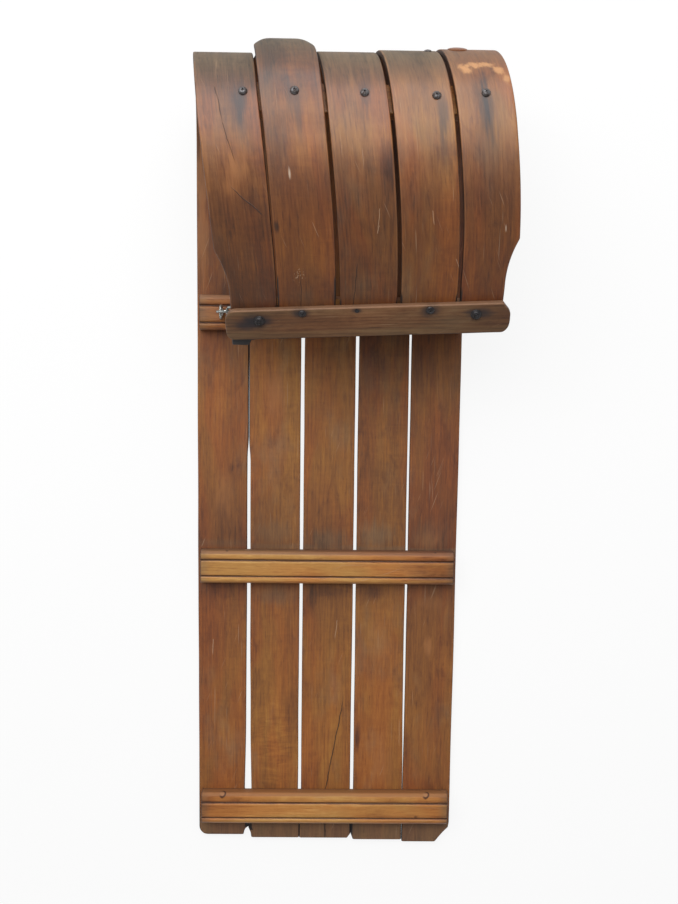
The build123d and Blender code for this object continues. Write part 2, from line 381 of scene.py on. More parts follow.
def close_seam(index, run, share, left, right):
    """Draws the facing edges of the two left slats together on the front half of the deck."""
    gap_left, gap_right = (mix(TAIL_EDGES[slat][side], FRONT_EDGES[slat][side], share)
                           for slat, side in ((0, 1), (1, 0)))
    meet = (gap_left + gap_right) / 2
    closed = smooth((run - SEAM_START) / (SEAM_END - SEAM_START))
    if index:
        return mix(left, min(left, meet + SEAM / 2), closed), right
    return left, mix(right, max(right, meet - SEAM / 2), closed)


def waver(index, run, seed):
    return WAVER * noise.noise(Vector((index * 7.0, run * 9, seed)))


def scoop_inset(edge, origin):
    """How far the scoop ahead of the headpiece draws an outer edge in."""
    ahead = max(origin.y - head_seat().translation.y - SCOOP_AHEAD - edge * math.tan(HEAD_TURN), 0)
    if origin.z < CURL_RADIUS or ahead > SCOOP_RADIUS:
        return 0.0
    return max(SCOOP_DEPTH - SCOOP_RADIUS + math.sqrt(SCOOP_RADIUS ** 2 - ahead ** 2), 0)


def back_end():
    """Where the slats' outer face ends, without the long end."""
    turn_y = BEND_Y - BACK_RADIUS * math.sin(BACK_TURN)
    turn_z = 2 * CURL_RADIUS - BACK_RADIUS * (1 - math.cos(BACK_TURN))
    lean = lean_at(CURL_RADIUS * math.pi + BACK_RADIUS * BACK_TURN + BACK_RUN)
    return Vector((lean, turn_y - BACK_RUN * math.cos(BACK_TURN), turn_z - BACK_RUN * math.sin(BACK_TURN)))


def head_seat():
    """Centre of the headpiece's underside, with its long way along X and its face up along Z."""
    tilt = Matrix.Translation(back_end()) @ Matrix.Rotation(BACK_TURN, 4, "X")
    return tilt @ Matrix.Translation((0, HEAD_FROM_END, 0)) @ Matrix.Rotation(HEAD_TURN, 4, "Z")


def make_slat(index):
    length = slat_length(index)
    bend = bend_run(index)
    corner = max(SLATS[index].left_corner, SLATS[index].right_corner)
    runs = [EDGE_EASE * share for share in (0.0, 0.12, 0.4, 1.0)]
    runs += [mix(EDGE_EASE, corner, n / 8) for n in range(1, 8)]
    count = round((bend - corner) / DECK_STEP)
    runs += [mix(corner, bend, n / count) for n in range(count)]
    count = round((length - EDGE_EASE - bend) / CURL_STEP)
    runs += [mix(bend, length - EDGE_EASE, n / count) for n in range(count + 1)]
    runs += [length - EDGE_EASE * share for share in (0.4, 0.12, 0.0)]
    stations = []
    for run in sorted(set(runs)):
        origin, inward, bent = slat_place(index, run)
        left, right = slat_limits(index, run, origin, bent)
        stations.append(Station(run, origin, Vector((1, 0, 0)), inward, left, right))

    def cut_back(place, coord, station):
        """Cuts the long end back, but for the lug that shows below the headpiece."""
        share = min(max((coord.y - length + LONG_END_REACH) / LONG_END_REACH, 0), 1)
        beside = coord.x - FRONT_EDGES[0][0] - SCOOP_DEPTH - LONG_END_WIDTH
        slide = share * LONG_END_CUT * smooth(beside / LONG_END_SOFT)
        along = Vector((0, math.cos(BACK_TURN), math.sin(BACK_TURN)))
        return place + along * slide, coord - Vector((0, slide, 0))

    def rub(place, coord, station):
        """Rubs the outer corners round where the nose sticks out."""
        from_edge = min(coord.x - station.left, station.right - coord.x)
        ahead = node_box(SLATS[index].name)[1].y - station.origin.y
        drop = NOSE_RUB * max(1 - from_edge / NOSE_RUB_WIDTH, 0) ** NOSE_RUB_BEND
        drop *= smooth(1 - ahead / NOSE_RUB_REACH)
        return place + station.inward * drop * (1 - coord.z / SLAT_THICKNESS), coord

    warp = cut_back if index == 0 else rub if SLATS[index].nose_wear else None
    columns = 2 * SLAT_COLUMNS if warp is rub else SLAT_COLUMNS
    return board(SLATS[index].name + "_wood", stations, SLAT_THICKNESS, EDGE_EASE, columns, warp)


# Bars and headpiece

def bar_profile():
    """(y, z) points over a crossbar's moulding, from its rear foot to its front foot."""
    height = node_box("crossbar_middle")[1].z - SLAT_THICKNESS
    half = BAR_WIDTH / 2
    centre = half - BAR_EDGE_RADIUS
    points = [(half - BAR_FOOT, 0.0), (half, BAR_FOOT), (half, height / 3),
              (half, height - BAR_EDGE_RADIUS)]
    for step in range(1, 9):
        angle = math.radians(90 * step / 8)
        points.append((centre + BAR_EDGE_RADIUS * math.cos(angle),
                       height - BAR_EDGE_RADIUS + BAR_EDGE_RADIUS * math.sin(angle)))
    groove = GROOVE_SPACING / 2
    lip = [(GROOVE_RADIUS + 2 * GROOVE_LIP, height),
           (GROOVE_RADIUS + GROOVE_LIP, height - 0.2 * GROOVE_LIP), (GROOVE_RADIUS, height - GROOVE_LIP)]
    points += [(groove + aside, z) for aside, z in lip]
    for angle in (30, 60, 90, 120, 150):
        turn = math.radians(angle)
        points.append((groove + GROOVE_RADIUS * math.cos(turn),
                       height - GROOVE_LIP - GROOVE_RADIUS * math.sin(turn)))
    points += [(groove - aside, z) for aside, z in reversed(lip)]
    points.append((groove / 2, height))
    mirrored = [(-y, z) for y, z in reversed(points)]
    return points + [(0.0, height)] + mirrored


# How much wider than drawn the worn bars are at the front and rear foot, and how far their grooves
# lie from the middle
BarShape = namedtuple("BarShape", "front rear grooves")
BAR_SHAPES = {"crossbar_tail": BarShape(0.0015, -0.0015, -0.0027),
              "crossbar_middle": BarShape(0.0025, 0.0, 0.0),
              "crossbar_front": BarShape(0.0015, -0.0025, -0.0030)}


def make_crossbar(node):
    low, high = node_box(node)
    shape = BAR_SHAPES[node]
    groove_side = GROOVE_SPACING / 2 + 2 * GROOVE_RADIUS
    centre_y = (low.y + high.y) / 2
    seed = centre_y * 13
    length = high.x - low.x
    profile = bar_profile()
    verts, coords, rims = [], [], []
    runs = end_runs(length, BAR_END_EASE, BAR_STEP)
    for run in runs:
        inset = round_inset(min(run, length - run), BAR_END_EASE)
        for y, z in profile:
            shrink = 1 - inset / (BAR_WIDTH / 2)
            waver = BAR_WAVER * noise.noise(Vector((run * 30, y * 60, seed)))
            shift = shape.front if y > groove_side else shape.rear if y < -groove_side else shape.grooves
            rise = max(z * shrink + waver * (z > BAR_STILL_FOOT), 0)
            verts.append(Vector((low.x + run, centre_y + y * shrink + shift, SLAT_THICKNESS + rise)))
            coords.append(Vector((y, run, z)))
            rims.append(min(BAR_WIDTH / 2 - abs(y), run, length - run))
    *sides, tail_cap, head_cap = skin(len(runs), len(profile))
    faces = [(second, first, fourth, third) for first, second, third, fourth in sides]
    faces += [tuple(reversed(tail_cap)), tuple(reversed(head_cap))]
    return wood_piece(node + "_wood", verts, faces, coords, rims)


def make_curl_bar():
    low, high = node_box("curl_bar")
    angle = math.pi - CURL_BAR_TURN
    inner = CURL_RADIUS - SLAT_THICKNESS
    seat = math.sqrt(inner ** 2 - (CURL_BAR_WIDTH / 2) ** 2)
    outward = Vector((0, math.sin(angle), -math.cos(angle)))
    across = Vector((0, math.cos(angle), math.sin(angle)))
    centre = Vector((0, BEND_Y, CURL_RADIUS)) + outward * seat
    stations = []
    for run in end_runs(high.x - low.x, CURL_BAR_END, CURL_BAR_STEP):
        origin = centre + Vector((low.x + run, 0, 0))
        stations.append(Station(run, origin, across, -outward, -CURL_BAR_WIDTH / 2, CURL_BAR_WIDTH / 2))
    return board("curl_bar_wood", stations, CURL_BAR_THICKNESS, CURL_BAR_EASE, HEAD_COLUMNS)


def head_limits(run):
    """Rear and front edge of the headpiece along its length, with corners as they were shaped."""
    half = HEAD_WIDTH / 2
    left, right = run, HEAD_LENGTH - run
    rear = -half + round_inset(left, HEAD_LEFT_REAR)
    front = half - round_inset(left, HEAD_LEFT_FRONT)
    length, width = HEAD_RIGHT_REAR
    if right < length:
        rear += width * (1 - math.sqrt(max(1 - (1 - right / length) ** 2, 0)))
    length, width = HEAD_RIGHT_FRONT
    if right < length:
        front -= width * (1 - right / length) ** 0.9 + round_inset(right, HEAD_TIP_RADIUS) * 0.6
    rear += HEAD_WAVER[0] * noise.noise(Vector((run * 14, 2.0, 1.0)))
    front += HEAD_WAVER[1] * noise.noise(Vector((run * 11, 6.0, 1.0)))
    return rear, front


def make_headpiece():
    seat = head_seat()
    across = seat.to_3x3() @ Vector((0, 1, 0))
    along = seat.to_3x3() @ Vector((1, 0, 0))
    up = seat.to_3x3() @ Vector((0, 0, 1))
    top = seat.translation + up * HEAD_THICKNESS
    stations = []
    runs = [HEAD_EASE * share for share in (0.0, 0.08, 0.25, 0.55, 1.0)]
    runs += [mix(HEAD_EASE, HEAD_CORNER_RUN, n / 8) for n in range(1, 9)]
    runs += [mix(HEAD_CORNER_RUN, HEAD_LENGTH / 2, n / 30) for n in range(1, 31)]
    runs += [HEAD_LENGTH - run for run in runs if run < HEAD_LENGTH / 2 - 0.001]
    for run in sorted(runs):
        rear, front = head_limits(run)
        origin = top + along * (run - HEAD_LENGTH / 2)
        stations.append(Station(run, origin, across, -up, rear, front))
    return board("headpiece_wood", stations, HEAD_THICKNESS, HEAD_EASE, HEAD_COLUMNS)


# Metal

def tube(points, radius):
    """Verts and faces of a closed ring of round wire along points."""
    verts = []
    count = len(points)
    normal = None
    for spot, point in enumerate(points):
        tangent = (points[(spot + 1) % count] - points[spot - 1]).normalized()
        if normal is None:
            guess = Vector((0, 0, 1)) if abs(tangent.z) < 0.9 else Vector((1, 0, 0))
            normal = tangent.cross(guess).normalized()
        normal = (normal - tangent * normal.dot(tangent)).normalized()
        side = tangent.cross(normal)
        for n in range(WIRE_SIDES):
            turn = 2 * math.pi * n / WIRE_SIDES
            verts.append(point + (normal * math.cos(turn) + side * math.sin(turn)) * radius)
    return verts, skin(count, WIRE_SIDES, closed=True)


def lathe(profile, sides, matrix):
    """Verts and faces of a turned piece: (radius, height) profile about the matrix's Z axis."""
    verts = []
    for radius, height in profile:
        verts += circle(radius, matrix, sides, height)
    return verts, skin(len(profile), sides)


def joined_piece(name, parts):
    """One mesh of several parts, each given as its verts and faces."""
    verts, faces = [], []
    for part_verts, part_faces in parts:
        start = len(verts)
        verts += part_verts
        faces += [tuple(start + v for v in face) for face in part_faces]
    return mesh_piece(name, verts, faces)


def circle(radius, matrix, steps, height=0.0):
    return [matrix @ Vector((radius * math.cos(a), radius * math.sin(a), height))
            for a in (2 * math.pi * n / steps for n in range(steps))]


def eye_bolt_seats():
    return [head_seat() @ Matrix.Translation((side * EYE_BOLT_SPACING / 2, EYE_BOLT_AHEAD, 0))
            for side in (-1, 1)]


def eye_ring(seat):
    """Matrix of a ring in the plane across the seat's X axis."""
    return seat @ Matrix.Rotation(math.pi / 2, 4, "Y")


def make_eye_bolts():
    depth = SLAT_THICKNESS + EYE_NECK + EYE_RADIUS
    parts = []
    for seat in eye_bolt_seats():
        ring_seat = eye_ring(seat @ Matrix.Translation((0, 0, -depth)))
        parts.append(tube(circle(EYE_RADIUS, ring_seat, 36), EYE_WIRE_RADIUS))
        shank = [(SHANK_RADIUS, -SLAT_THICKNESS - EYE_NECK), (SHANK_RADIUS, HEAD_THICKNESS + SHANK_OUT),
                 (SHANK_RADIUS * 0.7, HEAD_THICKNESS + SHANK_OUT + SHANK_TIP)]
        parts.append(lathe(shank, 16, seat))
        parts.append(lathe(NUT, 24, seat @ Matrix.Translation((0, 0, HEAD_THICKNESS))))
    return joined_piece("eye_bolts_iron", parts)


def deck_eye_seat(side):
    low, high = node_box("crossbar_front")
    height = high.z + EYE_NECK + EYE_RADIUS
    return Matrix.Translation((side * DECK_EYE_SPACING / 2, (low.y + high.y) / 2, height))


def make_deck_eyes():
    parts = []
    for side in (-1, 1):
        seat = deck_eye_seat(side)
        parts.append(tube(circle(EYE_RADIUS, eye_ring(seat), 36), EYE_WIRE_RADIUS))
        neck = [(SHANK_RADIUS * 1.3, -EYE_NECK - EYE_RADIUS), (SHANK_RADIUS, -EYE_RADIUS)]
        parts.append(lathe(neck, 16, seat))
    return joined_piece("deck_eyes_iron", parts)


def pull_point(seat, target):
    """Point at the wire's middle, in the seat's Y-Z plane, that lies nearest to the target."""
    pull = target - seat.translation
    pull.x = 0.0
    return seat.translation + pull.normalized() * EYE_RADIUS


def make_chain(name, side, seat):
    """Twisted links from the screw eye on the crossbar up to the eye bolt."""
    low_ring = deck_eye_seat(side)
    high_ring = seat @ Matrix.Translation((0, 0, -SLAT_THICKNESS - EYE_NECK - EYE_RADIUS))
    low = pull_point(low_ring, high_ring.translation)
    high = pull_point(high_ring, low_ring.translation)
    along = high - low
    hook = EYE_WIRE_RADIUS + LINK_WIRE_RADIUS + LINK_CLEARANCE
    lap = 2 * LINK_WIRE_RADIUS + LINK_CLEARANCE
    length = (along.length + 2 * hook + (LINK_COUNT - 1) * lap) / LINK_COUNT
    unit = along.normalized()
    flat = unit.cross(Vector((0, 1, 0))).normalized()
    parts = []
    for number in range(LINK_COUNT):
        centre = low + unit * (length / 2 - hook + number * (length - lap))
        normal = flat if number % 2 else flat.cross(unit)
        parts.append(tube(link_line(centre, unit, unit.cross(normal), length), LINK_WIRE_RADIUS))
    return joined_piece(name + "_steel", parts)


def link_line(centre, along, across, length):
    """Middle line of an oval link."""
    straight = length / 2 - LINK_HALF_WIDTH
    points = []
    for end in (1, -1):
        for step in range(13):
            angle = math.radians(end * 90 - 180 * step / 12)
            x = end * straight + LINK_HALF_WIDTH * math.cos(angle)
            points.append(centre + along * x + across * LINK_HALF_WIDTH * math.sin(angle))
    return points


# Screws

def slat_seat(index, x, bent):
    """Seat on a slat's outer face at board x and at a run past the start of the bend."""
    origin, inward, _ = slat_place(index, bend_run(index) + bent)
    outward = -inward
    along = outward.cross(Vector((1, 0, 0)))
    turn = Matrix((Vector((1, 0, 0)), along, outward)).transposed().to_4x4()
    return Matrix.Translation(origin + Vector((x, 0, 0))) @ turn


# Slat, place across and run past the bend's start of each screw; nose ones lie at the curl's front
CURL_SCREWS = ((0, -0.1414, 0.338), (1, -0.0788, 0.358), (2, 0.0112, 0.341),
               (3, 0.1010, 0.347), (4, 0.1633, 0.345))
SCREW_HEAD_RADIUS = 0.0058
SCREW_HEAD_HEIGHT = 0.0042
NOSE_SCREW = (3, 0.108, 0.240)
NOSE_SCREW_RADIUS = 0.0050
NOSE_SCREW_HEIGHT = 0.0022
NOSE_BUTTON = (4, 0.1475, 0.238)
SCREW_SINK = 0.0004
BUTTON_RADIUS = 0.0135
BUTTON_HEIGHT = 0.0027
BUTTON_SINK = 0.001

# Flush screws of the running face: (radius, height) points, and each slat's two places below a
# bar, as a share of the slat's width and a way ahead of the bar's middle
FLUSH_SCREW = ((0.0044, -0.0008), (0.0044, 0.0), (0.0040, 0.00015), (0.0016, 0.00015), (0.0013, -0.0009))
FLUSH_PLACES = ((0.28, 0.009), (0.72, -0.009))


def round_head(seat, radius, height):
    """Round screw head with a round drive hole."""
    profile = [(radius * 0.97, -SCREW_SINK), (radius, SCREW_SINK)]
    for share in (0.15, 0.35, 0.55, 0.75, 0.9):
        angle = share * math.pi / 2
        profile.append((radius * math.cos(angle), mix(SCREW_SINK, height, math.sin(angle))))
    hole = radius * 0.34
    profile += [(hole, height * 0.98), (hole * 0.9, height * 0.8), (hole * 0.75, height * 0.2)]
    return lathe(profile, 24, seat)


def make_curl_screws():
    parts = [round_head(slat_seat(*place), SCREW_HEAD_RADIUS, SCREW_HEAD_HEIGHT) for place in CURL_SCREWS]
    parts.append(round_head(slat_seat(*NOSE_SCREW), NOSE_SCREW_RADIUS, NOSE_SCREW_HEIGHT))
    return joined_piece("curl_screws", parts)


# Places on the headpiece's top, from its middle, and head radius and height
HEAD_SCREWS = ((-0.0883, 0.0162, 0.0054, 0.0036), (-0.0141, 0.0178, 0.0030, 0.0006),
               (0.0848, 0.0152, 0.0056, 0.0026))


def make_head_screws():
    parts = []
    for x, y, radius, height in HEAD_SCREWS:
        parts.append(round_head(head_seat() @ Matrix.Translation((x, y, HEAD_THICKNESS)), radius, height))
    return joined_piece("headpiece_screws", parts)


def make_nose_button():
    """Low worn wooden button on the nose of the right slat."""
    profile = [(BUTTON_RADIUS, -BUTTON_SINK)]
    for angle in (0, 15, 30, 45, 60, 75, 86):
        turn = math.radians(angle)
        profile.append((BUTTON_RADIUS * math.cos(turn), BUTTON_HEIGHT * math.sin(turn)))
    verts, faces = lathe(profile, 40, slat_seat(*NOSE_BUTTON))
    coords = [(v.x, v.z, v.y) for v in verts]
    return wood_piece("nose_button", verts, faces, coords, [1.0] * len(verts))


def make_running_screws():
    """Flat sunk screws that hold the crossbars, two in each slat below each bar."""
    parts = []
    turn = Matrix.Rotation(math.pi, 4, "X")
    for bar in ("crossbar_tail", "crossbar_middle", "crossbar_front"):
        low, high = node_box(bar)
        middle = (low.y + high.y) / 2
        for left, right in FRONT_EDGES:
            for share, ahead in FLUSH_PLACES:
                seat = Matrix.Translation((mix(left, right, share), middle + ahead, 0))
                parts.append(lathe(FLUSH_SCREW, 20, seat @ turn))
    return joined_piece("running_face_screws", parts)


# Materials

class Nodes:
    """Short calls that build the node tree of a material or world."""

    def __init__(self, owner):
        self.owner = owner
        owner.use_nodes = True
        self.tree = owner.node_tree
        self.tree.nodes.clear()

    def feed(self, socket, value):
        if isinstance(value, bpy.types.NodeSocket):
            self.tree.links.new(value, socket)
        else:
            socket.default_value = value

    def add(self, kind, inputs=(), **settings):
        node = self.tree.nodes.new("ShaderNode" + kind)
        for key, value in settings.items():
            setattr(node, key, value)
        for key, value in dict(inputs).items():
            self.feed(node.inputs[key], value)
        return node

    def calc(self, operation, *values, clamp=False):
        node = self.add("Math", operation=operation, use_clamp=clamp)
        for socket, value in zip(node.inputs, values):
            self.feed(socket, value)
        return node.outputs[0]

    def plus(self, *values):
        return reduce(partial(self.calc, "ADD"), values)

    def times(self, *values):
        return reduce(partial(self.calc, "MULTIPLY"), values)

    def centred(self, value, amount):
        """A 0 to 1 value as a swing of that amount about zero."""
        return self.calc("MULTIPLY_ADD", value, amount, -amount / 2)

    def vector(self, operation, *values):
        node = self.add("VectorMath", operation=operation)
        for socket, value in zip(node.inputs, values):
            self.feed(socket, value)
        return node.outputs[0]

    def split(self, vector):
        return self.add("SeparateXYZ", {0: vector}).outputs

    def noise(self, vector, across, along, detail=3.0, roughness=0.5, distortion=0.0):
        """Noise from 0 to 1, with scales across and along a board in cycles per metre."""
        stretched = self.vector("MULTIPLY", vector, (across, along, across))
        node = self.add("TexNoise", {"Vector": stretched, "Scale": 1.0, "Detail": detail,
                                     "Roughness": roughness, "Distortion": distortion})
        return node.outputs[0]

    def mix(self, factor, first, second):
        return self.add("Mix", {0: factor, 2: first, 3: second}, data_type="FLOAT").outputs[0]

    def blend(self, factor, first, second, kind="MIX"):
        node = self.add("Mix", data_type="RGBA", blend_type=kind)
        for slot, value in ((0, factor), (6, first), (7, second)):
            self.feed(node.inputs[slot], value)
        return node.outputs[2]

    def ramp(self, value, stops, interpolation="LINEAR"):
        node = self.add("ValToRGB", {0: value})
        node.color_ramp.interpolation = interpolation
        elements = node.color_ramp.elements
        while len(elements) < len(stops):
            elements.new(0.5)
        for element, (place, colour) in zip(elements, stops):
            element.position = place
            element.color = (*colour, 1)
        return node.outputs[0]

    def profile(self, value, stops, reach):
        """Eased curve through (place, height) stops, places given up to the reach."""
        shares = [(place / reach, (height, height, height)) for place, height in stops]
        return self.ramp(self.times(value, 1 / reach), shares, "EASE")

    def map_range(self, value, *limits, interpolation="LINEAR"):
        inputs = dict(enumerate((value, *limits)))
        return self.add("MapRange", inputs, interpolation_type=interpolation).outputs[0]

    def span(self, value, low, high):
        """0 below the first limit to 1 beyond the second, eased."""
        return self.map_range(value, low, high, 0.0, 1.0, interpolation="SMOOTHSTEP")

    def bump(self, height, strength, distance):
        return self.add("Bump", {"Strength": strength, "Distance": distance, "Height": height}).outputs[0]

    def spot(self, x, y, centre, size, ragged):
        """Mask of an oval spot, 1 in its middle, with a ragged fading rim."""
        across = self.times(self.plus(x, -centre[0]), 1 / size[0])
        along = self.times(self.plus(y, -centre[1]), 1 / size[1])
        reach = self.calc("SQRT", self.plus(self.times(across, across), self.times(along, along)))
        return self.span(self.plus(reach, ragged), 1.0, 0.15)

    def stroke(self, x, y, start, end, width, ragged):
        """Mask of a straight stroke, thinning to its end."""
        run_x, run_y = end[0] - start[0], end[1] - start[1]
        length = math.hypot(run_x, run_y)
        dx, dy = self.plus(x, -start[0]), self.plus(y, -start[1])
        along = self.times(self.plus(self.times(dx, run_x), self.times(dy, run_y)), 1 / length ** 2)
        aside = self.calc("SUBTRACT", self.times(dx, run_y), self.times(dy, run_x))
        aside = self.times(aside, 1 / length)
        aside = self.calc("ABSOLUTE", self.plus(aside, ragged))
        held = self.times(self.span(along, -0.02, 0.04), self.span(along, 1.0, 0.75))
        return self.times(self.span(aside, width, width * 0.3), held)

    def finish(self, kind, inputs):
        """Ends a material's tree with a shader of that kind."""
        self.add("OutputMaterial", {0: self.add(kind, inputs).outputs[0]})
        return self.owner


SLAT_TONES = ((0.0, (0.022, 0.011, 0.008)), (0.2, (0.070, 0.026, 0.012)), (0.35, (0.128, 0.044, 0.015)),
              (0.5, (0.210, 0.077, 0.022)), (0.65, (0.300, 0.119, 0.030)), (0.8, (0.400, 0.178, 0.046)),
              (1.0, (0.56, 0.29, 0.09)))
BAR_TONES = ((0.0, (0.045, 0.016, 0.009)), (0.2, (0.14, 0.050, 0.019)), (0.35, (0.25, 0.098, 0.030)),
             (0.5, (0.37, 0.160, 0.045)), (0.65, (0.47, 0.220, 0.062)), (0.8, (0.58, 0.310, 0.100)),
             (1.0, (0.70, 0.43, 0.17)))
HEAD_TONES = ((0.0, (0.016, 0.010, 0.008)), (0.25, (0.055, 0.028, 0.017)), (0.45, (0.100, 0.050, 0.027)),
              (0.6, (0.150, 0.076, 0.037)), (0.8, (0.24, 0.135, 0.068)), (1.0, (0.36, 0.22, 0.12)))
WHITE = (1.0, 1.0, 1.0, 1)
GREY = (0.140, 0.108, 0.066, 1)
REDDISH = (1.02, 0.86, 0.76, 1)
YELLOWISH = (0.98, 1.05, 1.02, 1)
SOOT = (0.022, 0.021, 0.025, 1)
SIDE_SHADE_AND_DIRT = (0.22, 0.17, 0.15, 1)
VARNISH_TINT = (0.88, 0.78, 0.46, 1)
PALE = (0.50, 0.34, 0.21, 1)
ORANGE = (0.40, 0.165, 0.052, 1)
CRACK = (0.012, 0.006, 0.004, 1)
BARE_WOOD = (0.50, 0.25, 0.10, 1)
SPLINTER = (0.62, 0.50, 0.38, 1)
DARK_END = (0.016, 0.014, 0.015, 1)
# Painted shade for the narrow gaps between slats
GAP_SHADE = (0.012, 0.007, 0.006, 1)
# Near black for the slats' edges beside the headpiece
BY_HEAD_DARK = (0.010, 0.007, 0.006, 1)

# How a board's wood looks: where its heart lies beside and below it, how fast the rings run out
# along it, and how strong its rings, blotches and ripples are.
Grain = namedtuple("Grain", "heart_x heart_depth taper rings blotches ripples streaks")
RING_SPACING = 0.0042

# Distances from a board's edge where it looks worn, and where its side begins
WORN_RIM = (0.0032, 0.0016)
SIDE_RIM = (0.0009, 0.0001)

# How strongly the other layers shade the tone
PATCHES = 0.36
FIBRES = 0.34
FIGURE = 0.26
PORES = -0.11
SMUDGES = -0.12
SPECKS = -0.08
LIFT = 0.03


def wood_tone(n, spot, seed, grain, lift):
    """Tone of bare wood from 0 to 1 in board coordinates, and the height of its fibres."""
    shifted = n.vector("ADD", spot, (seed, seed * 0.73, seed * 0.31))
    x, y, z = n.split(spot)
    drift = n.centred(n.noise(shifted, 7, 1.7, detail=2), 0.05)
    wobble = n.centred(n.noise(shifted, 38, 9, detail=3), 0.008)
    aside = n.plus(x, -grain.heart_x, drift)
    depth = n.plus(n.times(y, grain.taper), z, grain.heart_depth, wobble)
    heart = n.calc("SQRT", n.plus(n.times(aside, aside), n.times(depth, depth)))
    rings = n.times(heart, 1 / RING_SPACING)
    share = n.calc("FRACT", rings)
    strength = n.add("TexWhiteNoise", {"W": n.calc("FLOOR", rings)}, noise_dimensions="1D").outputs[0]
    line = n.times(n.span(share, 0.35, 0.92), n.span(share, 1.0, 0.94), strength)
    patches = n.noise(shifted, 10, 2.8, detail=2)
    blotches = n.noise(shifted, 36, 9, detail=4, roughness=0.62, distortion=0.9)
    bands = n.noise(shifted, 105, 3.6, detail=3, roughness=0.55, distortion=0.2)
    fibres = n.noise(shifted, 450, 15, detail=3, roughness=0.65)
    figure = n.noise(shifted, 190, 30, detail=4, roughness=0.62, distortion=1.4)
    pores = n.span(n.noise(shifted, 330, 26, detail=3, roughness=0.6), 0.58, 0.70)
    smudges = n.noise(shifted, 26, 10, detail=5, roughness=0.62, distortion=0.6)
    ripples = n.noise(shifted, 22, 105, detail=2, distortion=1.0)
    specks = n.span(n.noise(shifted, 380, 90, detail=2), 0.66, 0.76)
    tone = n.plus(n.centred(patches, PATCHES), n.centred(blotches, grain.blotches),
                  n.centred(bands, grain.streaks), n.centred(fibres, FIBRES), n.centred(figure, FIGURE),
                  n.times(pores, PORES), n.times(n.span(smudges, 0.53, 0.70), SMUDGES),
                  n.times(n.centred(ripples, grain.ripples), n.span(patches, 0.35, 0.6)),
                  n.times(line, -grain.rings), n.times(specks, SPECKS), lift + LIFT)
    return tone, shifted, fibres


def scratches(n, shifted):
    """Mask of thin pale scratches, gathered here and there."""
    turned = n.add("Mapping", {"Vector": shifted, "Rotation": (0, 0, 0.35)}).outputs[0]
    along = n.span(n.noise(shifted, 520, 12, detail=1), 0.70, 0.76)
    slanting = n.span(n.noise(turned, 430, 16, detail=1), 0.72, 0.77)
    gathered = n.span(n.noise(shifted, 22, 9, detail=2), 0.46, 0.60)
    return n.times(n.calc("MAXIMUM", along, slanting), gathered)


def wood(name, tones, seed, grain, lift, polish, dress_up=None, roughness=0.36):
    """Old varnished wood. The polish is how glossy it is; dress_up adds what one board alone has."""
    n = Nodes(bpy.data.materials.new(name))
    spot = n.add("Attribute", attribute_name="board").outputs["Vector"]
    rim = n.add("Attribute", attribute_name="rim").outputs["Fac"]
    tone, shifted, fibres = wood_tone(n, spot, seed, grain, lift)
    greyed = n.span(n.noise(shifted, 14, 6, detail=4, roughness=0.65), 0.50, 0.75)
    look = SimpleNamespace(n=n, spot=spot, rim=rim, noise=partial(n.noise, shifted), tone=tone,
                           grey=n.times(greyed, 0.35), tint=WHITE, paint=[], side_shade_and_dirt=0.4, dull=0.0,
                           cracks=0.0)
    if dress_up:
        dress_up(look)
    colour = n.ramp(look.tone, tones)
    hue = n.noise(shifted, 17, 4.2, detail=3, roughness=0.55, distortion=0.6)
    colour = n.blend(1.0, colour, n.blend(n.span(hue, 0.36, 0.64), REDDISH, YELLOWISH), "MULTIPLY")
    colour = n.blend(1.0, colour, look.tint, "MULTIPLY")
    grey = n.blend(1.0, GREY, n.calc("MULTIPLY_ADD", look.tone, 1.6, 0.2), "MULTIPLY")
    colour = n.blend(look.grey, colour, grey)
    ragged = n.noise(shifted, 90, 22, detail=2)
    worn = n.times(n.span(rim, *WORN_RIM), n.span(ragged, 0.42, 0.62), 0.40)
    colour = n.blend(worn, colour, n.blend(0.5, colour, ORANGE))
    pale = scratches(n, shifted)
    colour = n.blend(n.times(pale, 0.30), colour, PALE)
    for mask, paint in look.paint:
        colour = n.blend(mask, colour, paint)
    # Board sides darkened: dirt, and painted shade where they face the gaps between slats
    sides = n.times(n.span(rim, *SIDE_RIM), look.side_shade_and_dirt)
    colour = n.blend(sides, colour, n.blend(1.0, colour, SIDE_SHADE_AND_DIRT, "MULTIPLY"))
    grit = n.noise(shifted, 60, 30, detail=4, roughness=0.7)
    rough = n.plus(roughness - 0.07, n.times(grit, 0.16), n.centred(fibres, 0.24), n.times(pale, 0.10),
                   n.times(look.grey, 0.2), look.dull)
    height = n.plus(n.times(fibres, 0.9), n.times(grit, 0.8), n.times(pale, -0.3),
                    n.times(look.cracks, -2.0))
    return n.finish("BsdfPrincipled", {"Base Color": colour, "Roughness": rough,
                                       "Specular IOR Level": polish, "Normal": n.bump(height, 0.55, 0.0005)})


# Slat wood. Places are across from the slat's middle line and along from its tail end.

# A crack or scratch is a stroke: start, end and width. The other marks are ovals: middle, half
# sizes and strength. A stain is soot, a bare mark flaked varnish, a chip a pale splinter, a speck
# pale dots, and chatter ripples of light and dark. Marks past CURL_SIDE lie on the outer face.
Mark = namedtuple("Mark", "kind start size strength")
CURL_SIDE = 1.2

# Tones along the deck face, from the tail end, as (run, tone) stops; OUTER_PLACES are the runs of
# the outer face's tones
DECK_COMMON = ((0.0, 0.44), (0.02, 0.46), (0.036, 0.38), (0.085, 0.56), (0.16, 0.60), (0.26, 0.58),
               (0.34, 0.53), (0.375, 0.52), (0.415, 0.46), (0.478, 0.43), (0.52, 0.49), (0.58, 0.55),
               (0.64, 0.58), (0.72, 0.59), (0.79, 0.52), (0.86, 0.45), (1.20, 0.40))
SLAT_REACH = 1.8
OUTER_PLACES = (0.0, 1.0, 1.25, 1.36, 1.42, 1.46, 1.505, 1.55, 1.596, 1.64, 1.72)

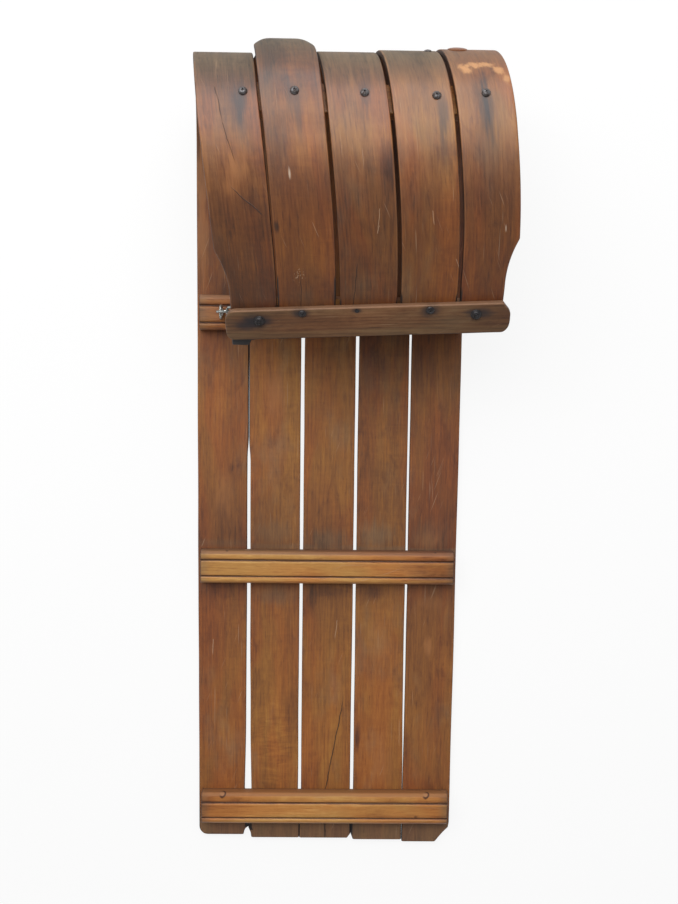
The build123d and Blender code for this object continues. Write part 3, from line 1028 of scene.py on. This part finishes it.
SlatLook = namedtuple("SlatLook", "seed grain tint deck_lift front_lift outer marks")
SLAT_LOOKS = (
    SlatLook(1.3, Grain(-0.060, 0.020, 0.010, 0.05, 0.30, 0.12, 0.20), (1.0, 0.97, 1.08, 1), -0.02, 0.01,
             (0.42, 0.40, 0.29, 0.22, 0.42, 0.50, 0.43, 0.33, 0.32, 0.27, 0.26), (
        Mark("stain", (0.0175, 1.408), (0.012, 0.036), 0.55),
        Mark("stain", (0.0135, 1.428), (0.008, 0.046), 0.75),
        Mark("stain", (0.010, 1.410), (0.026, 0.064), 0.40),
        Mark("crack", (-0.0136, 1.388), (-0.0087, 1.4369), 0.0006),
        Mark("crack", (-0.0087, 1.4360), (0.0030, 1.4880), 0.0005),
        Mark("crack", (0.0291, 1.5492), (-0.0093, 1.512), 0.0008),
        # Painted light: this worn mark lightens the strip of deck beside the curl, which lies in the curl's
        # shadow
        Mark("worn", (-0.031, 0.98), (0.012, 0.16), 0.55),
        Mark("worn", (0.0005, 1.494), (0.018, 0.026), 0.45),
        Mark("worn", (-0.010, 1.515), (0.012, 0.018), 0.30),
        Mark("dark", (-0.006, 0.406), (0.042, 0.022), 0.09),
        Mark("dark", (0.006, 0.497), (0.036, 0.040), 0.06),
        Mark("worn", (0.002, 0.560), (0.022, 0.050), 0.22),
        Mark("scratch", (-0.0148, 0.3265), (-0.0150, 0.2990), 0.0007),
    )),
    SlatLook(4.9, Grain(0.018, 0.012, 0.018, 0.05, 0.30, 0.16, 0.16), (1.0, 1.01, 1.10, 1), 0.03, 0.04,
             (0.42, 0.40, 0.27, 0.19, 0.24, 0.46, 0.52, 0.40, 0.44, 0.49, 0.36), (
        Mark("stain", (0.0015, 1.446), (0.012, 0.036), 0.50),
        Mark("stain", (0.006, 1.468), (0.007, 0.044), 0.42),
        Mark("chip", (-0.0120, 1.540), (0.0019, 0.0100), 0.7),
        Mark("crack", (-0.0077, 1.722), (-0.0068, 1.664), 0.0006),
        Mark("dark", (-0.0345, 1.607), (0.005, 0.012), 0.35),
        Mark("speck", (-0.009, 1.676), (0.010, 0.018), 0.7),
        Mark("worn", (0.0007, 0.722), (0.022, 0.050), 0.40),
        Mark("chatter", (0.002, 0.150), (0.050, 0.120), 0.8),
        Mark("grey", (0.0, 0.404), (0.046, 0.024), 0.30),
        Mark("dark", (0.004, 0.402), (0.040, 0.018), 0.03),
        Mark("grey", (0.0, 0.503), (0.050, 0.030), 0.25),
    )),
    SlatLook(8.2, Grain(0.016, 0.006, 0.022, 0.09, 0.28, 0.13, 0.14), (1.0, 1.00, 1.08, 1), 0.02, 0.02,
             (0.42, 0.40, 0.34, 0.32, 0.47, 0.62, 0.46, 0.42, 0.44, 0.37, 0.33), (
        Mark("stain", (0.0110, 1.410), (0.009, 0.032), 0.40),
        Mark("stain", (0.014, 1.385), (0.013, 0.034), 0.25),
        Mark("dark", (0.031, 1.497), (0.016, 0.044), 0.20),
        Mark("scratch", (0.0171, 1.550), (0.0125, 1.577), 0.0005),
        Mark("scratch", (0.0145, 1.572), (0.0119, 1.584), 0.0006),
        Mark("crack", (-0.0213, 1.690), (-0.0148, 1.6186), 0.0007),
        Mark("crack", (0.0003, -0.002), (-0.0006, 0.0854), 0.0016),
        Mark("crack", (-0.0006, 0.080), (0.0294, 0.2495), 0.0011),
        Mark("scratch", (0.0152, 0.3641), (0.0125, 0.3315), 0.0006),
        Mark("dark", (-0.0246, 0.398), (0.010, 0.036), 0.20),
        Mark("dark", (0.004, 0.409), (0.040, 0.015), 0.12),
        Mark("grey", (0.0, 0.492), (0.046, 0.026), 0.40), Mark("dark", (0.0, 0.500), (0.046, 0.034), 0.07),
    )),
    SlatLook(12.7, Grain(-0.030, 0.016, 0.014, 0.05, 0.28, 0.13, 0.16), (1.0, 1.01, 1.10, 1), 0.04, -0.12,
             (0.42, 0.40, 0.40, 0.40, 0.53, 0.66, 0.52, 0.45, 0.47, 0.50, 0.42), (
        Mark("stain", (0.0235, 1.445), (0.010, 0.048), 0.60),
        Mark("stain", (0.0210, 1.478), (0.008, 0.044), 0.45),
        Mark("scratch", (0.0029, 1.5600), (0.0042, 1.580), 0.0006),
        Mark("scratch", (0.0335, 1.6250), (0.0395, 1.642), 0.0006),
        Mark("dark", (-0.0330, 0.1739), (0.0065, 0.030), 0.30),
        Mark("dark", (-0.0425, 0.058), (0.007, 0.020), 0.35),
        Mark("dark", (-0.0130, 0.412), (0.034, 0.018), 0.19),
        Mark("worn", (0.004, 0.130), (0.024, 0.060), 0.26),
        Mark("grey", (-0.008, 0.503), (0.046, 0.034), 0.45),
        Mark("worn", (-0.002, 0.335), (0.026, 0.050), 0.22),
    )),
    SlatLook(17.1, Grain(0.055, 0.022, 0.010, 0.05, 0.28, 0.12, 0.18), (1.0, 0.97, 1.12, 1), 0.00, -0.07,
             (0.42, 0.40, 0.40, 0.47, 0.54, 0.64, 0.47, 0.39, 0.44, 0.43, 0.37), (
        Mark("stain", (-0.001, 1.438), (0.0105, 0.054), 0.85),
        Mark("stain", (0.001, 1.400), (0.007, 0.026), 0.45),
        Mark("stain", (-0.002, 1.458), (0.015, 0.054), 0.40),
        Mark("chip", (0.0161, 1.590), (0.0012, 0.0060), 0.5),
        Mark("bare", (-0.0195, 1.380), (0.0110, 0.015), 0.90),
        Mark("bare", (-0.0065, 1.373), (0.0110, 0.009), 0.85),
        Mark("bare", (0.0095, 1.372), (0.0130, 0.0085), 0.85),
        Mark("bare", (0.0230, 1.382), (0.0085, 0.012), 0.80),
        Mark("bare", (0.0290, 1.398), (0.0065, 0.012), 0.70),
        Mark("worn", (-0.0026, 0.327), (0.010, 0.022), 0.40),
        Mark("dark", (0.020, 0.20), (0.018, 0.10), 0.10), Mark("worn", (0.0, 0.400), (0.030, 0.016), 0.15),
        Mark("grey", (0.0, 0.505), (0.046, 0.040), 0.22),
        Mark("worn", (-0.004, 0.497), (0.034, 0.020), 0.20),
    )),
)

# Runs from the tail end between which a part of a slat's look comes or goes
FRONT_LIFT_RUNS = (0.45, 0.60)
TAIL_GAP_SHADE_RUNS = (0.055, 0.040)
TAIL_GREY_RUNS = (0.042, 0.028)
CLOSED_SEAM_RUNS = (0.626, 0.652)
SOLE_RUNS = (1.42, 1.33)
FADED_RUNS = (1.47, 1.58)
SIDE_SHADE_RUNS = (1.1, 1.3)
BY_HEAD_RUNS = (1.672, 1.684)
POCKET_END_RUNS = (0.045, 0.036)
LEFT_POCKET_RUNS = (0.0120, 0.0140)
RIGHT_POCKET_RUNS = (0.006, 0.012)

# Distances from a slat's edge between which its painted gap shade and its darker edges by the headpiece come
# in
TAIL_GAP_SHADE_RIM = (0.0017, 0.0008)
CLOSED_SEAM_RIM = (0.0018, 0.0007)
LEFT_POCKET_RIM = (0.0066, 0.0048)
RIGHT_POCKET_RIM = (0.0034, 0.0018)
BY_HEAD_RIM = (0.0030, 0.0016)

# Run of the line of dust ahead of the front crossbar, and how far before the long slat's end its
# dark end begins and is full
DUST_LINE = 0.481
DARK_END_STARTS = (0.024, 0.015)

# Kinds of mark that are plain paint: its strength and colour
MARK_PAINTS = {"crack": (0.85, CRACK), "scratch": (0.6, PALE), "stain": (1.0, SOOT), "worn": (1.0, ORANGE),
               "bare": (1.0, BARE_WOOD), "chip": (1.0, SPLINTER)}


def slat_dressing(index):
    """What one slat alone has: tones along it, dust, and the marks in its look."""
    plan = SLAT_LOOKS[index]
    front = sum(FRONT_EDGES[index]) / 2
    tail = sum(TAIL_EDGES[index]) / 2
    bend = bend_run(index)

    def dress_up(look):
        n = look.n
        x, y, z = n.split(look.spot)
        middle = n.calc("MULTIPLY_ADD", n.calc("MINIMUM", y, bend), (front - tail) / bend, tail)
        x = n.calc("SUBTRACT", x, middle)
        deck = n.span(z, SLAT_THICKNESS * 0.4, SLAT_THICKNESS * 0.6)
        outer = n.calc("SUBTRACT", 1.0, deck)
        deck_tone = n.plus(n.profile(y, DECK_COMMON, SLAT_REACH), plan.deck_lift - 0.5,
                           n.times(n.span(y, *FRONT_LIFT_RUNS), plan.front_lift - plan.deck_lift))
        outer_tone = n.plus(n.profile(y, tuple(zip(OUTER_PLACES, plan.outer)), SLAT_REACH), -0.5)
        look.tone = n.plus(look.tone, n.times(deck, deck_tone), n.times(outer, outer_tone))
        sole = n.times(outer, n.span(y, *SOLE_RUNS))
        from_line = n.calc("ABSOLUTE", n.plus(y, -DUST_LINE))
        dust = n.times(deck, n.span(from_line, 0.009, 0.001), 0.20 + 0.07 * index)
        greyed = n.plus(n.times(sole, 0.80 if index < 4 else 0.45), dust,
                        n.times(n.span(y, *TAIL_GREY_RUNS), 0.45))
        look.grey = n.calc("MAXIMUM", look.grey, greyed)
        faded = n.times(outer, n.span(y, *FADED_RUNS))
        look.dull = n.plus(n.times(deck, 0.30), n.times(sole, 0.24), n.times(faded, 0.20))
        # Deeper on the curl, as painted shade in the dark gaps between slats
        look.side_shade_and_dirt = n.plus(0.6, n.times(n.span(y, *SIDE_SHADE_RUNS), 0.35))
        varnished = n.calc("MAXIMUM", deck, faded)
        look.tint = n.blend(1.0, plan.tint, n.blend(varnished, WHITE, VARNISH_TINT), "MULTIPLY")
        ragged = n.plus(n.centred(look.noise(160, 26, detail=3), 0.9),
                        n.centred(look.noise(700, 24, detail=2), 0.5))
        shake = n.centred(look.noise(60, 60, detail=3), 0.0035)
        flaking = n.centred(look.noise(130, 110, detail=4, roughness=0.7), 1.7)
        for mark in plan.marks:
            if mark.kind in ("crack", "scratch"):
                mask = n.stroke(x, y, mark.start, mark.size, mark.strength, shake)
            else:
                rim = flaking if mark.kind == "bare" else ragged
                mask = n.times(n.spot(x, y, mark.start, mark.size, rim), mark.strength)
            if mark.start[1] > CURL_SIDE:
                mask = n.times(mask, outer)
            elif mark.kind != "crack":
                mask = n.times(mask, deck)
            if mark.kind in MARK_PAINTS:
                strength, colour = MARK_PAINTS[mark.kind]
                look.paint.append((n.times(mask, strength), colour))
            if mark.kind == "crack":
                look.cracks = n.plus(look.cracks, mask)
            if mark.kind == "dark":
                look.tone = n.plus(look.tone, n.times(mask, -1.0))
            if mark.kind == "grey":
                look.grey = n.calc("MAXIMUM", look.grey, mask)
            if mark.kind == "chatter":
                waves = look.noise(24, 120, detail=2, distortion=1.6)
                look.tone = n.plus(look.tone, n.times(n.centred(waves, 0.5), mask))
            if mark.kind == "speck":
                dots = n.span(look.noise(420, 260, detail=1), 0.60, 0.66)
                look.paint.append((n.times(mask, dots), PALE))
        look.paint += seams(index, look, x, y, deck)
        if index == 0:
            dark_end = n.span(y, *(slat_length(0) - length for length in DARK_END_STARTS))
            look.paint.append((dark_end, DARK_END))
    return dress_up


def seams(index, look, x, y, deck):
    """Painted shade in the narrow gaps where slats' edges lie close, at the tail and ahead, and darker edges
    by the headpiece.
    """
    n = look.n
    rim = look.rim
    right = n.span(x, 0.0, 0.01)
    left = n.calc("SUBTRACT", 1.0, right)
    # Painted shade in the narrowed gaps behind the tail bar, in the closed seam ahead, and in the pockets
    gap_shade = n.times(n.span(y, *TAIL_GAP_SHADE_RUNS), n.span(rim, *TAIL_GAP_SHADE_RIM), 0.9)
    pocket_end = n.span(y, *POCKET_END_RUNS)
    if index in (0, 1):
        facing = left if index else right
        ahead = n.times(n.span(y, *CLOSED_SEAM_RUNS), n.span(rim, *CLOSED_SEAM_RIM), 0.92)
        pocket = n.times(n.span(y, *LEFT_POCKET_RUNS), pocket_end, n.span(rim, *LEFT_POCKET_RIM))
        gap_shade = n.calc("MAXIMUM", gap_shade, n.times(facing, n.calc("MAXIMUM", ahead, pocket)))
    if index in (2, 3):
        facing = right if index == 2 else left
        pocket = n.times(n.span(y, *RIGHT_POCKET_RUNS), pocket_end, n.span(rim, *RIGHT_POCKET_RIM))
        gap_shade = n.calc("MAXIMUM", gap_shade, n.times(facing, pocket))
    # Near black on the slats' edges beside the headpiece
    by_head = n.times(n.span(y, *BY_HEAD_RUNS), n.span(rim, *BY_HEAD_RIM), 0.9)
    if index == 0:
        by_head = n.times(by_head, right)
    if index == 4:
        by_head = n.times(by_head, left)
    return [(n.times(gap_shade, deck), GAP_SHADE), (by_head, BY_HEAD_DARK)]


# Bar and headpiece wood. Places are along the bar from its left end.

BAR_GRAIN = Grain(0.010, 0.030, 0.016, 0.10, 0.20, 0.10, 0.14)
HEAD_GRAIN = Grain(-0.030, 0.020, 0.030, 0.16, 0.30, 0.06, 0.20)

# Of each crossbar: seed, colour of the dull front side, and tones along it
BarLook = namedtuple("BarLook", "seed side stops")
BAR_LOOKS = {
    "crossbar_tail": BarLook(23.0, (0.255, 0.110, 0.040, 1), (
        (0.0, 0.38), (0.03, 0.48), (0.09, 0.57), (0.2, 0.61), (0.3, 0.57), (0.36, 0.56), (0.39, 0.47))),
    "crossbar_middle": BarLook(26.1, (0.165, 0.078, 0.048, 1), (
        (0.0, 0.59), (0.05, 0.64), (0.14, 0.61), (0.24, 0.58), (0.31, 0.53), (0.36, 0.38), (0.39, 0.32))),
    "crossbar_front": BarLook(29.2, (0.24, 0.125, 0.070, 1), ((0.0, 0.36), (0.39, 0.36))),
}
HEAD_STOPS = ((0.0, 0.46), (0.03, 0.46), (0.09, 0.54), (0.2, 0.62), (0.3, 0.60), (0.36, 0.50),
              (0.388, 0.44))
GROOVE_DIRT = (0.055, 0.017, 0.008, 1)
FOOT_DARK = (0.050, 0.024, 0.016, 1)
END_DIRT = (0.05, 0.022, 0.014, 1)
# Painted shade in the tail bar's sunk screw holes
SCREW_HOLE_SHADE = (0.045, 0.014, 0.008, 1)
PLUG = (0.36, 0.19, 0.10, 1)
KNOT = (0.07, 0.022, 0.010, 1)
NAIL = (0.06, 0.028, 0.022, 1)
HEAD_BAND = (0.16, 0.10, 0.048, 1)
HEAD_EDGE = (0.30, 0.165, 0.095, 1)
HEAD_FOOT = (0.035, 0.022, 0.016, 1)

# Painted highlights on a crossbar's crests and lips, painted shade in its hollows, dark grooves: where
# they start and end, across from the front groove or the rear one, and how soft their edges are
CREST_HIGHLIGHT = (0.0030, 0.0056, 0.0010)
FRONT_LIP_HIGHLIGHT = (-0.0042, -0.0026, 0.0008)
REAR_LIP_HIGHLIGHT = (-0.0055, -0.0026, 0.0010)
FRONT_HOLLOW_SHADE = (0.0015, 0.0028, 0.0012)
REAR_HOLLOW_SHADE = (-0.0070, -0.0095)
FRONT_GROOVE = (-0.0013, 0.0011, 0.0006)
REAR_GROOVE = (-0.0009, 0.0011, 0.0006)
FRONT_SIDE = (0.0192, 0.0212)
FOOT_HEIGHTS = (0.0030, 0.0006)
END_GREY = (0.018, 0.002)
END_DIRT_DEPTH = (0.0022, 0.0008)

# Screws sunk in the tail crossbar, its knot, and nails in the middle one: runs along the bar
TAIL_BAR_SCREWS = (0.0332, 0.3573)
KNOT_RUN = 0.3425
MIDDLE_BAR_NAILS = (0.0411, 0.3637)

# Soot round the headpiece's bolts and screws: along, across, half length and half width
HEAD_SOOT = ((0.0445, 0.0072, 0.030, 0.012), (0.030, 0.001, 0.034, 0.012), (0.104, 0.0165, 0.020, 0.009),
             (0.180, 0.0180, 0.010, 0.006), (0.279, 0.0155, 0.018, 0.013), (0.344, 0.009, 0.026, 0.010))


def band(n, value, low, high, soft):
    """1 between the limits, fading over the soft length beyond them."""
    return n.times(n.span(value, low - soft, low), n.span(value, high + soft, high))


def ball(n, place, centre):
    """Distance from a point in board coordinates."""
    away = [n.plus(value, -middle) for value, middle in zip(place, centre)]
    return n.calc("SQRT", n.plus(*[n.times(value, value) for value in away]))


def bar_dressing(node):
    """Mouldings of a crossbar: dull front side, painted highlights on crests and lips, painted shade in the
    hollows, dirty grooves and darker feet.
    """
    length = node_box(node)[1].x - node_box(node)[0].x
    groove = GROOVE_SPACING / 2

    def dress_up(look):
        n = look.n
        place = n.split(look.spot)
        x, y, z = place
        ragged = n.centred(look.noise(200, 60, detail=3), 0.0012)
        wavy = n.plus(x, ragged)
        from_front, from_rear = n.plus(wavy, -groove), n.plus(wavy, groove)
        # Painted highlights on the crests and lips, and painted shade in the hollows beside the grooves and
        # on the rear side
        crest_highlight = band(n, from_front, *CREST_HIGHLIGHT)
        lip_highlights = n.plus(band(n, from_front, *FRONT_LIP_HIGHLIGHT), band(n, from_rear, *REAR_LIP_HIGHLIGHT))
        hollow_shade = n.plus(band(n, from_front, *FRONT_HOLLOW_SHADE), n.span(from_rear, *REAR_HOLLOW_SHADE))
        look.tone = n.plus(look.tone, n.profile(y, BAR_LOOKS[node].stops, length), -0.5,
                           n.times(crest_highlight, 0.03), n.times(lip_highlights, 0.06), n.times(hollow_shade, -0.12))
        side = n.span(n.plus(x, n.times(ragged, 0.6)), *FRONT_SIDE)
        grooves = n.plus(band(n, from_front, *FRONT_GROOVE), band(n, from_rear, *REAR_GROOVE))
        foot = n.times(n.span(z, *FOOT_HEIGHTS), 0.6)
        from_end = n.calc("MINIMUM", y, n.plus(length, n.times(y, -1.0)))
        look.grey = n.plus(n.times(look.grey, 0.5), n.times(n.span(from_end, *END_GREY), 0.35))
        look.dull = n.times(side, 0.3)
        look.paint += [(n.times(side, 0.7), BAR_LOOKS[node].side), (n.times(grooves, 0.85), GROOVE_DIRT),
                       (foot, FOOT_DARK), (n.times(n.span(from_end, *END_DIRT_DEPTH), 0.6), END_DIRT)]
        if node == "crossbar_tail":
            look.paint += tail_bar_marks(n, place)
        if node == "crossbar_middle":
            look.paint += middle_bar_marks(n, place)
    return dress_up


def tail_bar_marks(n, place):
    """Sunk screws, as painted shade in a crescent round a plug, and a small knot."""
    x, y, _ = place
    found = []
    for along in TAIL_BAR_SCREWS:
        away = ball(n, place, (0.0225, along, 0.0155))
        open_side = n.span(n.plus(y, -along, n.times(x, -0.8), 0.018), -0.0045, 0.0010)
        hole_shade = n.times(band(n, away, 0.0042, 0.0060, 0.0008), open_side)
        found.append((n.times(hole_shade, 0.85), SCREW_HOLE_SHADE))
        found.append((n.times(n.span(away, 0.0045, 0.0030), 0.35), PLUG))
    knot = n.spot(x, y, (-0.0093, KNOT_RUN), (0.0030, 0.0042), 0.0)
    return found + [(n.times(knot, 0.7), KNOT)]


def middle_bar_marks(n, place):
    """Nail heads on the front side."""
    heads = [ball(n, place, (0.0242, along, 0.0140)) for along in MIDDLE_BAR_NAILS]
    return [(n.times(n.span(away, 0.0026, 0.0012), 0.85), NAIL) for away in heads]


def head_dressing(look):
    """The headpiece's pale band and edge, dark foot, and soot round its bolts and screws."""
    n = look.n
    x, y, _ = n.split(look.spot)
    look.tone = n.plus(look.tone, n.profile(y, HEAD_STOPS, HEAD_LENGTH), -0.5)
    front_edge = n.span(x, HEAD_WIDTH / 2 - 0.0032, HEAD_WIDTH / 2 - 0.0008)
    foot = n.span(x, -HEAD_WIDTH / 2 + 0.0026, -HEAD_WIDTH / 2 + 0.0010)
    low = band(n, x, -0.0195, -0.0125, 0.003)
    look.paint += [(n.times(low, look.noise(120, 14), 0.5), HEAD_BAND),
                   (n.times(front_edge, 0.65), HEAD_EDGE), (n.times(foot, 0.6), HEAD_FOOT)]
    ragged = n.centred(look.noise(60, 26, detail=4, roughness=0.65), 1.1)
    for place, aside, length, width in HEAD_SOOT:
        mask = n.spot(x, y, (aside, place), (width, length), ragged)
        look.paint.append((n.times(mask, 0.85), SOOT))
    look.dull = n.centred(look.noise(30, 12), 0.3)


IRON = (0.17, 0.165, 0.17, 1)
IRON_RUST = (0.050, 0.033, 0.027, 1)
STEEL = (0.46, 0.48, 0.46, 1)
STEEL_DIRT = (0.035, 0.045, 0.035, 1)
BLACK_IRON = (0.040, 0.038, 0.042, 1)
BLACK_RUST = (0.016, 0.012, 0.011, 1)
GRIME = (0.02, 0.015, 0.012, 1)


def metal(name, base, rust, roughness, metallic, rusty=0.42):
    """Metal with rust or dirt where its patches of noise are over the rusty limit."""
    n = Nodes(bpy.data.materials.new(name))
    place = n.add("TexCoord").outputs["Object"]
    patches = n.noise(place, 260, 260, detail=4, roughness=0.65)
    grit = n.noise(place, 1500, 1500, detail=2)
    mask = n.span(patches, rusty, rusty + 0.2)
    colour = n.blend(mask, base, rust)
    colour = n.blend(n.times(n.span(grit, 0.4, 0.7), 0.35), colour, GRIME)
    rough = n.plus(roughness, n.times(mask, 0.25))
    shine = n.times(n.calc("SUBTRACT", 1.0, n.times(mask, 0.6)), metallic)
    return n.finish("BsdfPrincipled", {"Base Color": colour, "Roughness": rough, "Metallic": shine,
                                       "Normal": n.bump(n.plus(grit, patches), 0.4, 0.0003)})


# Scene

def dress(piece, material, slot, *nodes):
    piece.data.materials.append(material)
    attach(piece, "root")
    if nodes:
        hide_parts(*nodes)


def stage():
    n = Nodes(bpy.data.materials.new("floor_white"))
    diffuse = n.add("BsdfDiffuse", {"Color": (0.88, 0.88, 0.88, 1)}).outputs[0]
    glow = n.add("Emission", {"Color": (1, 1, 1, 1), "Strength": 1.0}).outputs[0]
    path = n.add("LightPath")
    seen = n.calc("ADD", path.outputs["Is Camera Ray"], path.outputs["Is Glossy Ray"])
    seen = n.calc("ADD", seen, path.outputs["Is Transmission Ray"], clamp=True)
    white = n.finish("MixShader", {0: n.calc("MULTIPLY", seen, 0.85), 1: diffuse, 2: glow})
    half = 8.0
    corners = [(-half, -half, 0), (half, -half, 0), (half, half, 0), (-half, half, 0)]
    floor = mesh_piece("floor", corners, [(0, 1, 2, 3)])
    floor.data.materials.append(white)


def light_world():
    """Plain studio: white to the camera, and in mirrors dim above and brighter near the horizon."""
    world = bpy.data.worlds.new("studio")
    bpy.context.scene.world = world
    n = Nodes(world)
    path = n.add("LightPath").outputs
    height = n.calc("ABSOLUTE", n.split(n.add("TexCoord").outputs["Generated"])[2])
    mirrored = n.map_range(height, 0.25, 0.75, WORLD_HORIZON, WORLD_ABOVE)
    level = n.mix(path["Is Glossy Ray"], WORLD_LEVEL, mirrored)
    seen = n.calc("MAXIMUM", path["Is Camera Ray"], path["Is Transmission Ray"])
    strength = n.mix(seen, level, 1.0)
    glow = n.add("Background", {"Color": WHITE, "Strength": strength}).outputs[0]
    n.add("OutputWorld", {0: glow})


WORLD_LEVEL = 0.33
WORLD_HORIZON = 0.8
WORLD_ABOVE = 0.12


def area_light(name, place, target, size, radiance):
    data = bpy.data.lights.new(name, "AREA")
    data.shape = "RECTANGLE"
    data.size, data.size_y = size
    data.energy = radiance * math.pi * size[0] * size[1]
    light = bpy.data.objects.new(name, data)
    light.location = place
    light.rotation_euler = (Vector(target) - Vector(place)).to_track_quat("-Z", "Y").to_euler()
    bpy.context.scene.collection.objects.link(light)


def camera():
    data = bpy.data.cameras.new("camera")
    data.sensor_width = 36.0
    data.lens = 36.0 * CAMERA_FOCAL_PX / PHOTO_HEIGHT_PX
    data.clip_start = 0.05
    made = bpy.data.objects.new("camera", data)
    made.location = CAMERA_PLACE
    made.rotation_euler = Euler([math.radians(a) for a in CAMERA_TURN])
    bpy.context.scene.collection.objects.link(made)
    bpy.context.scene.camera = made


# Camera, from a fit to the deck's edges and gaps in the photo's 678 by 904 pixels
PHOTO_HEIGHT_PX = 904
CAMERA_FOCAL_PX = 995.4
CAMERA_PLACE = (-0.0091, 0.3691, 1.535)
CAMERA_TURN = (-7.05, -0.851, 0.735)

camera()
stage()
light_world()
area_light("window", place=(-0.21, 2.25, 2.24), target=(0.02, 0.6, 0.25), size=(3.0, 3.8), radiance=3.0)
area_light("side_window", place=(-2.2, 1.9, 2.3), target=(0.0, 0.2, 0.1), size=(1.2, 1.2), radiance=5.0)
bpy.context.scene.view_settings.view_transform = "Standard"

for index, slat in enumerate(SLATS):
    plan = SLAT_LOOKS[index]
    finish = wood(slat.name + "_finish", SLAT_TONES, plan.seed, plan.grain, lift=0.5, polish=0.6,
                  dress_up=slat_dressing(index))
    dress(make_slat(index), finish, "slat_wood", slat.name)
for node, plan in BAR_LOOKS.items():
    finish = wood(node + "_finish", BAR_TONES, plan.seed, BAR_GRAIN, lift=0.5, polish=0.42,
                  dress_up=bar_dressing(node))
    dress(make_crossbar(node), finish, "bar_wood", node)
finish = wood("curl_bar_finish", BAR_TONES, 41.0, BAR_GRAIN, lift=0.38, polish=0.3)
dress(make_curl_bar(), finish, "bar_wood", "curl_bar")
finish = wood("headpiece_finish", HEAD_TONES, 33.0, HEAD_GRAIN, lift=0.5, polish=0.3,
              dress_up=head_dressing, roughness=0.5)
dress(make_headpiece(), finish, "head_wood", "headpiece")

iron = metal("iron_finish", IRON, IRON_RUST, roughness=0.34, metallic=0.75)
steel = metal("chain_finish", STEEL, STEEL_DIRT, roughness=0.20, metallic=0.95, rusty=0.46)
black = metal("black_iron_finish", BLACK_IRON, BLACK_RUST, roughness=0.24, metallic=0.5)
dress(make_eye_bolts(), black, "iron", "eye_bolts")
dress(make_deck_eyes(), steel, "iron", "deck_eyes")
for name, side, seat in zip(("chain_left", "chain_right"), (-1, 1), eye_bolt_seats()):
    dress(make_chain(name, side, seat), steel, "chain_steel", name)
dress(make_curl_screws(), iron, "iron")
dress(make_head_screws(), black, "iron")
dress(make_running_screws(), iron, "iron")
finish = wood("nose_button_finish", SLAT_TONES, 51.0, SLAT_LOOKS[4].grain, lift=0.42, polish=0.3)
dress(make_nose_button(), finish, "slat_wood")
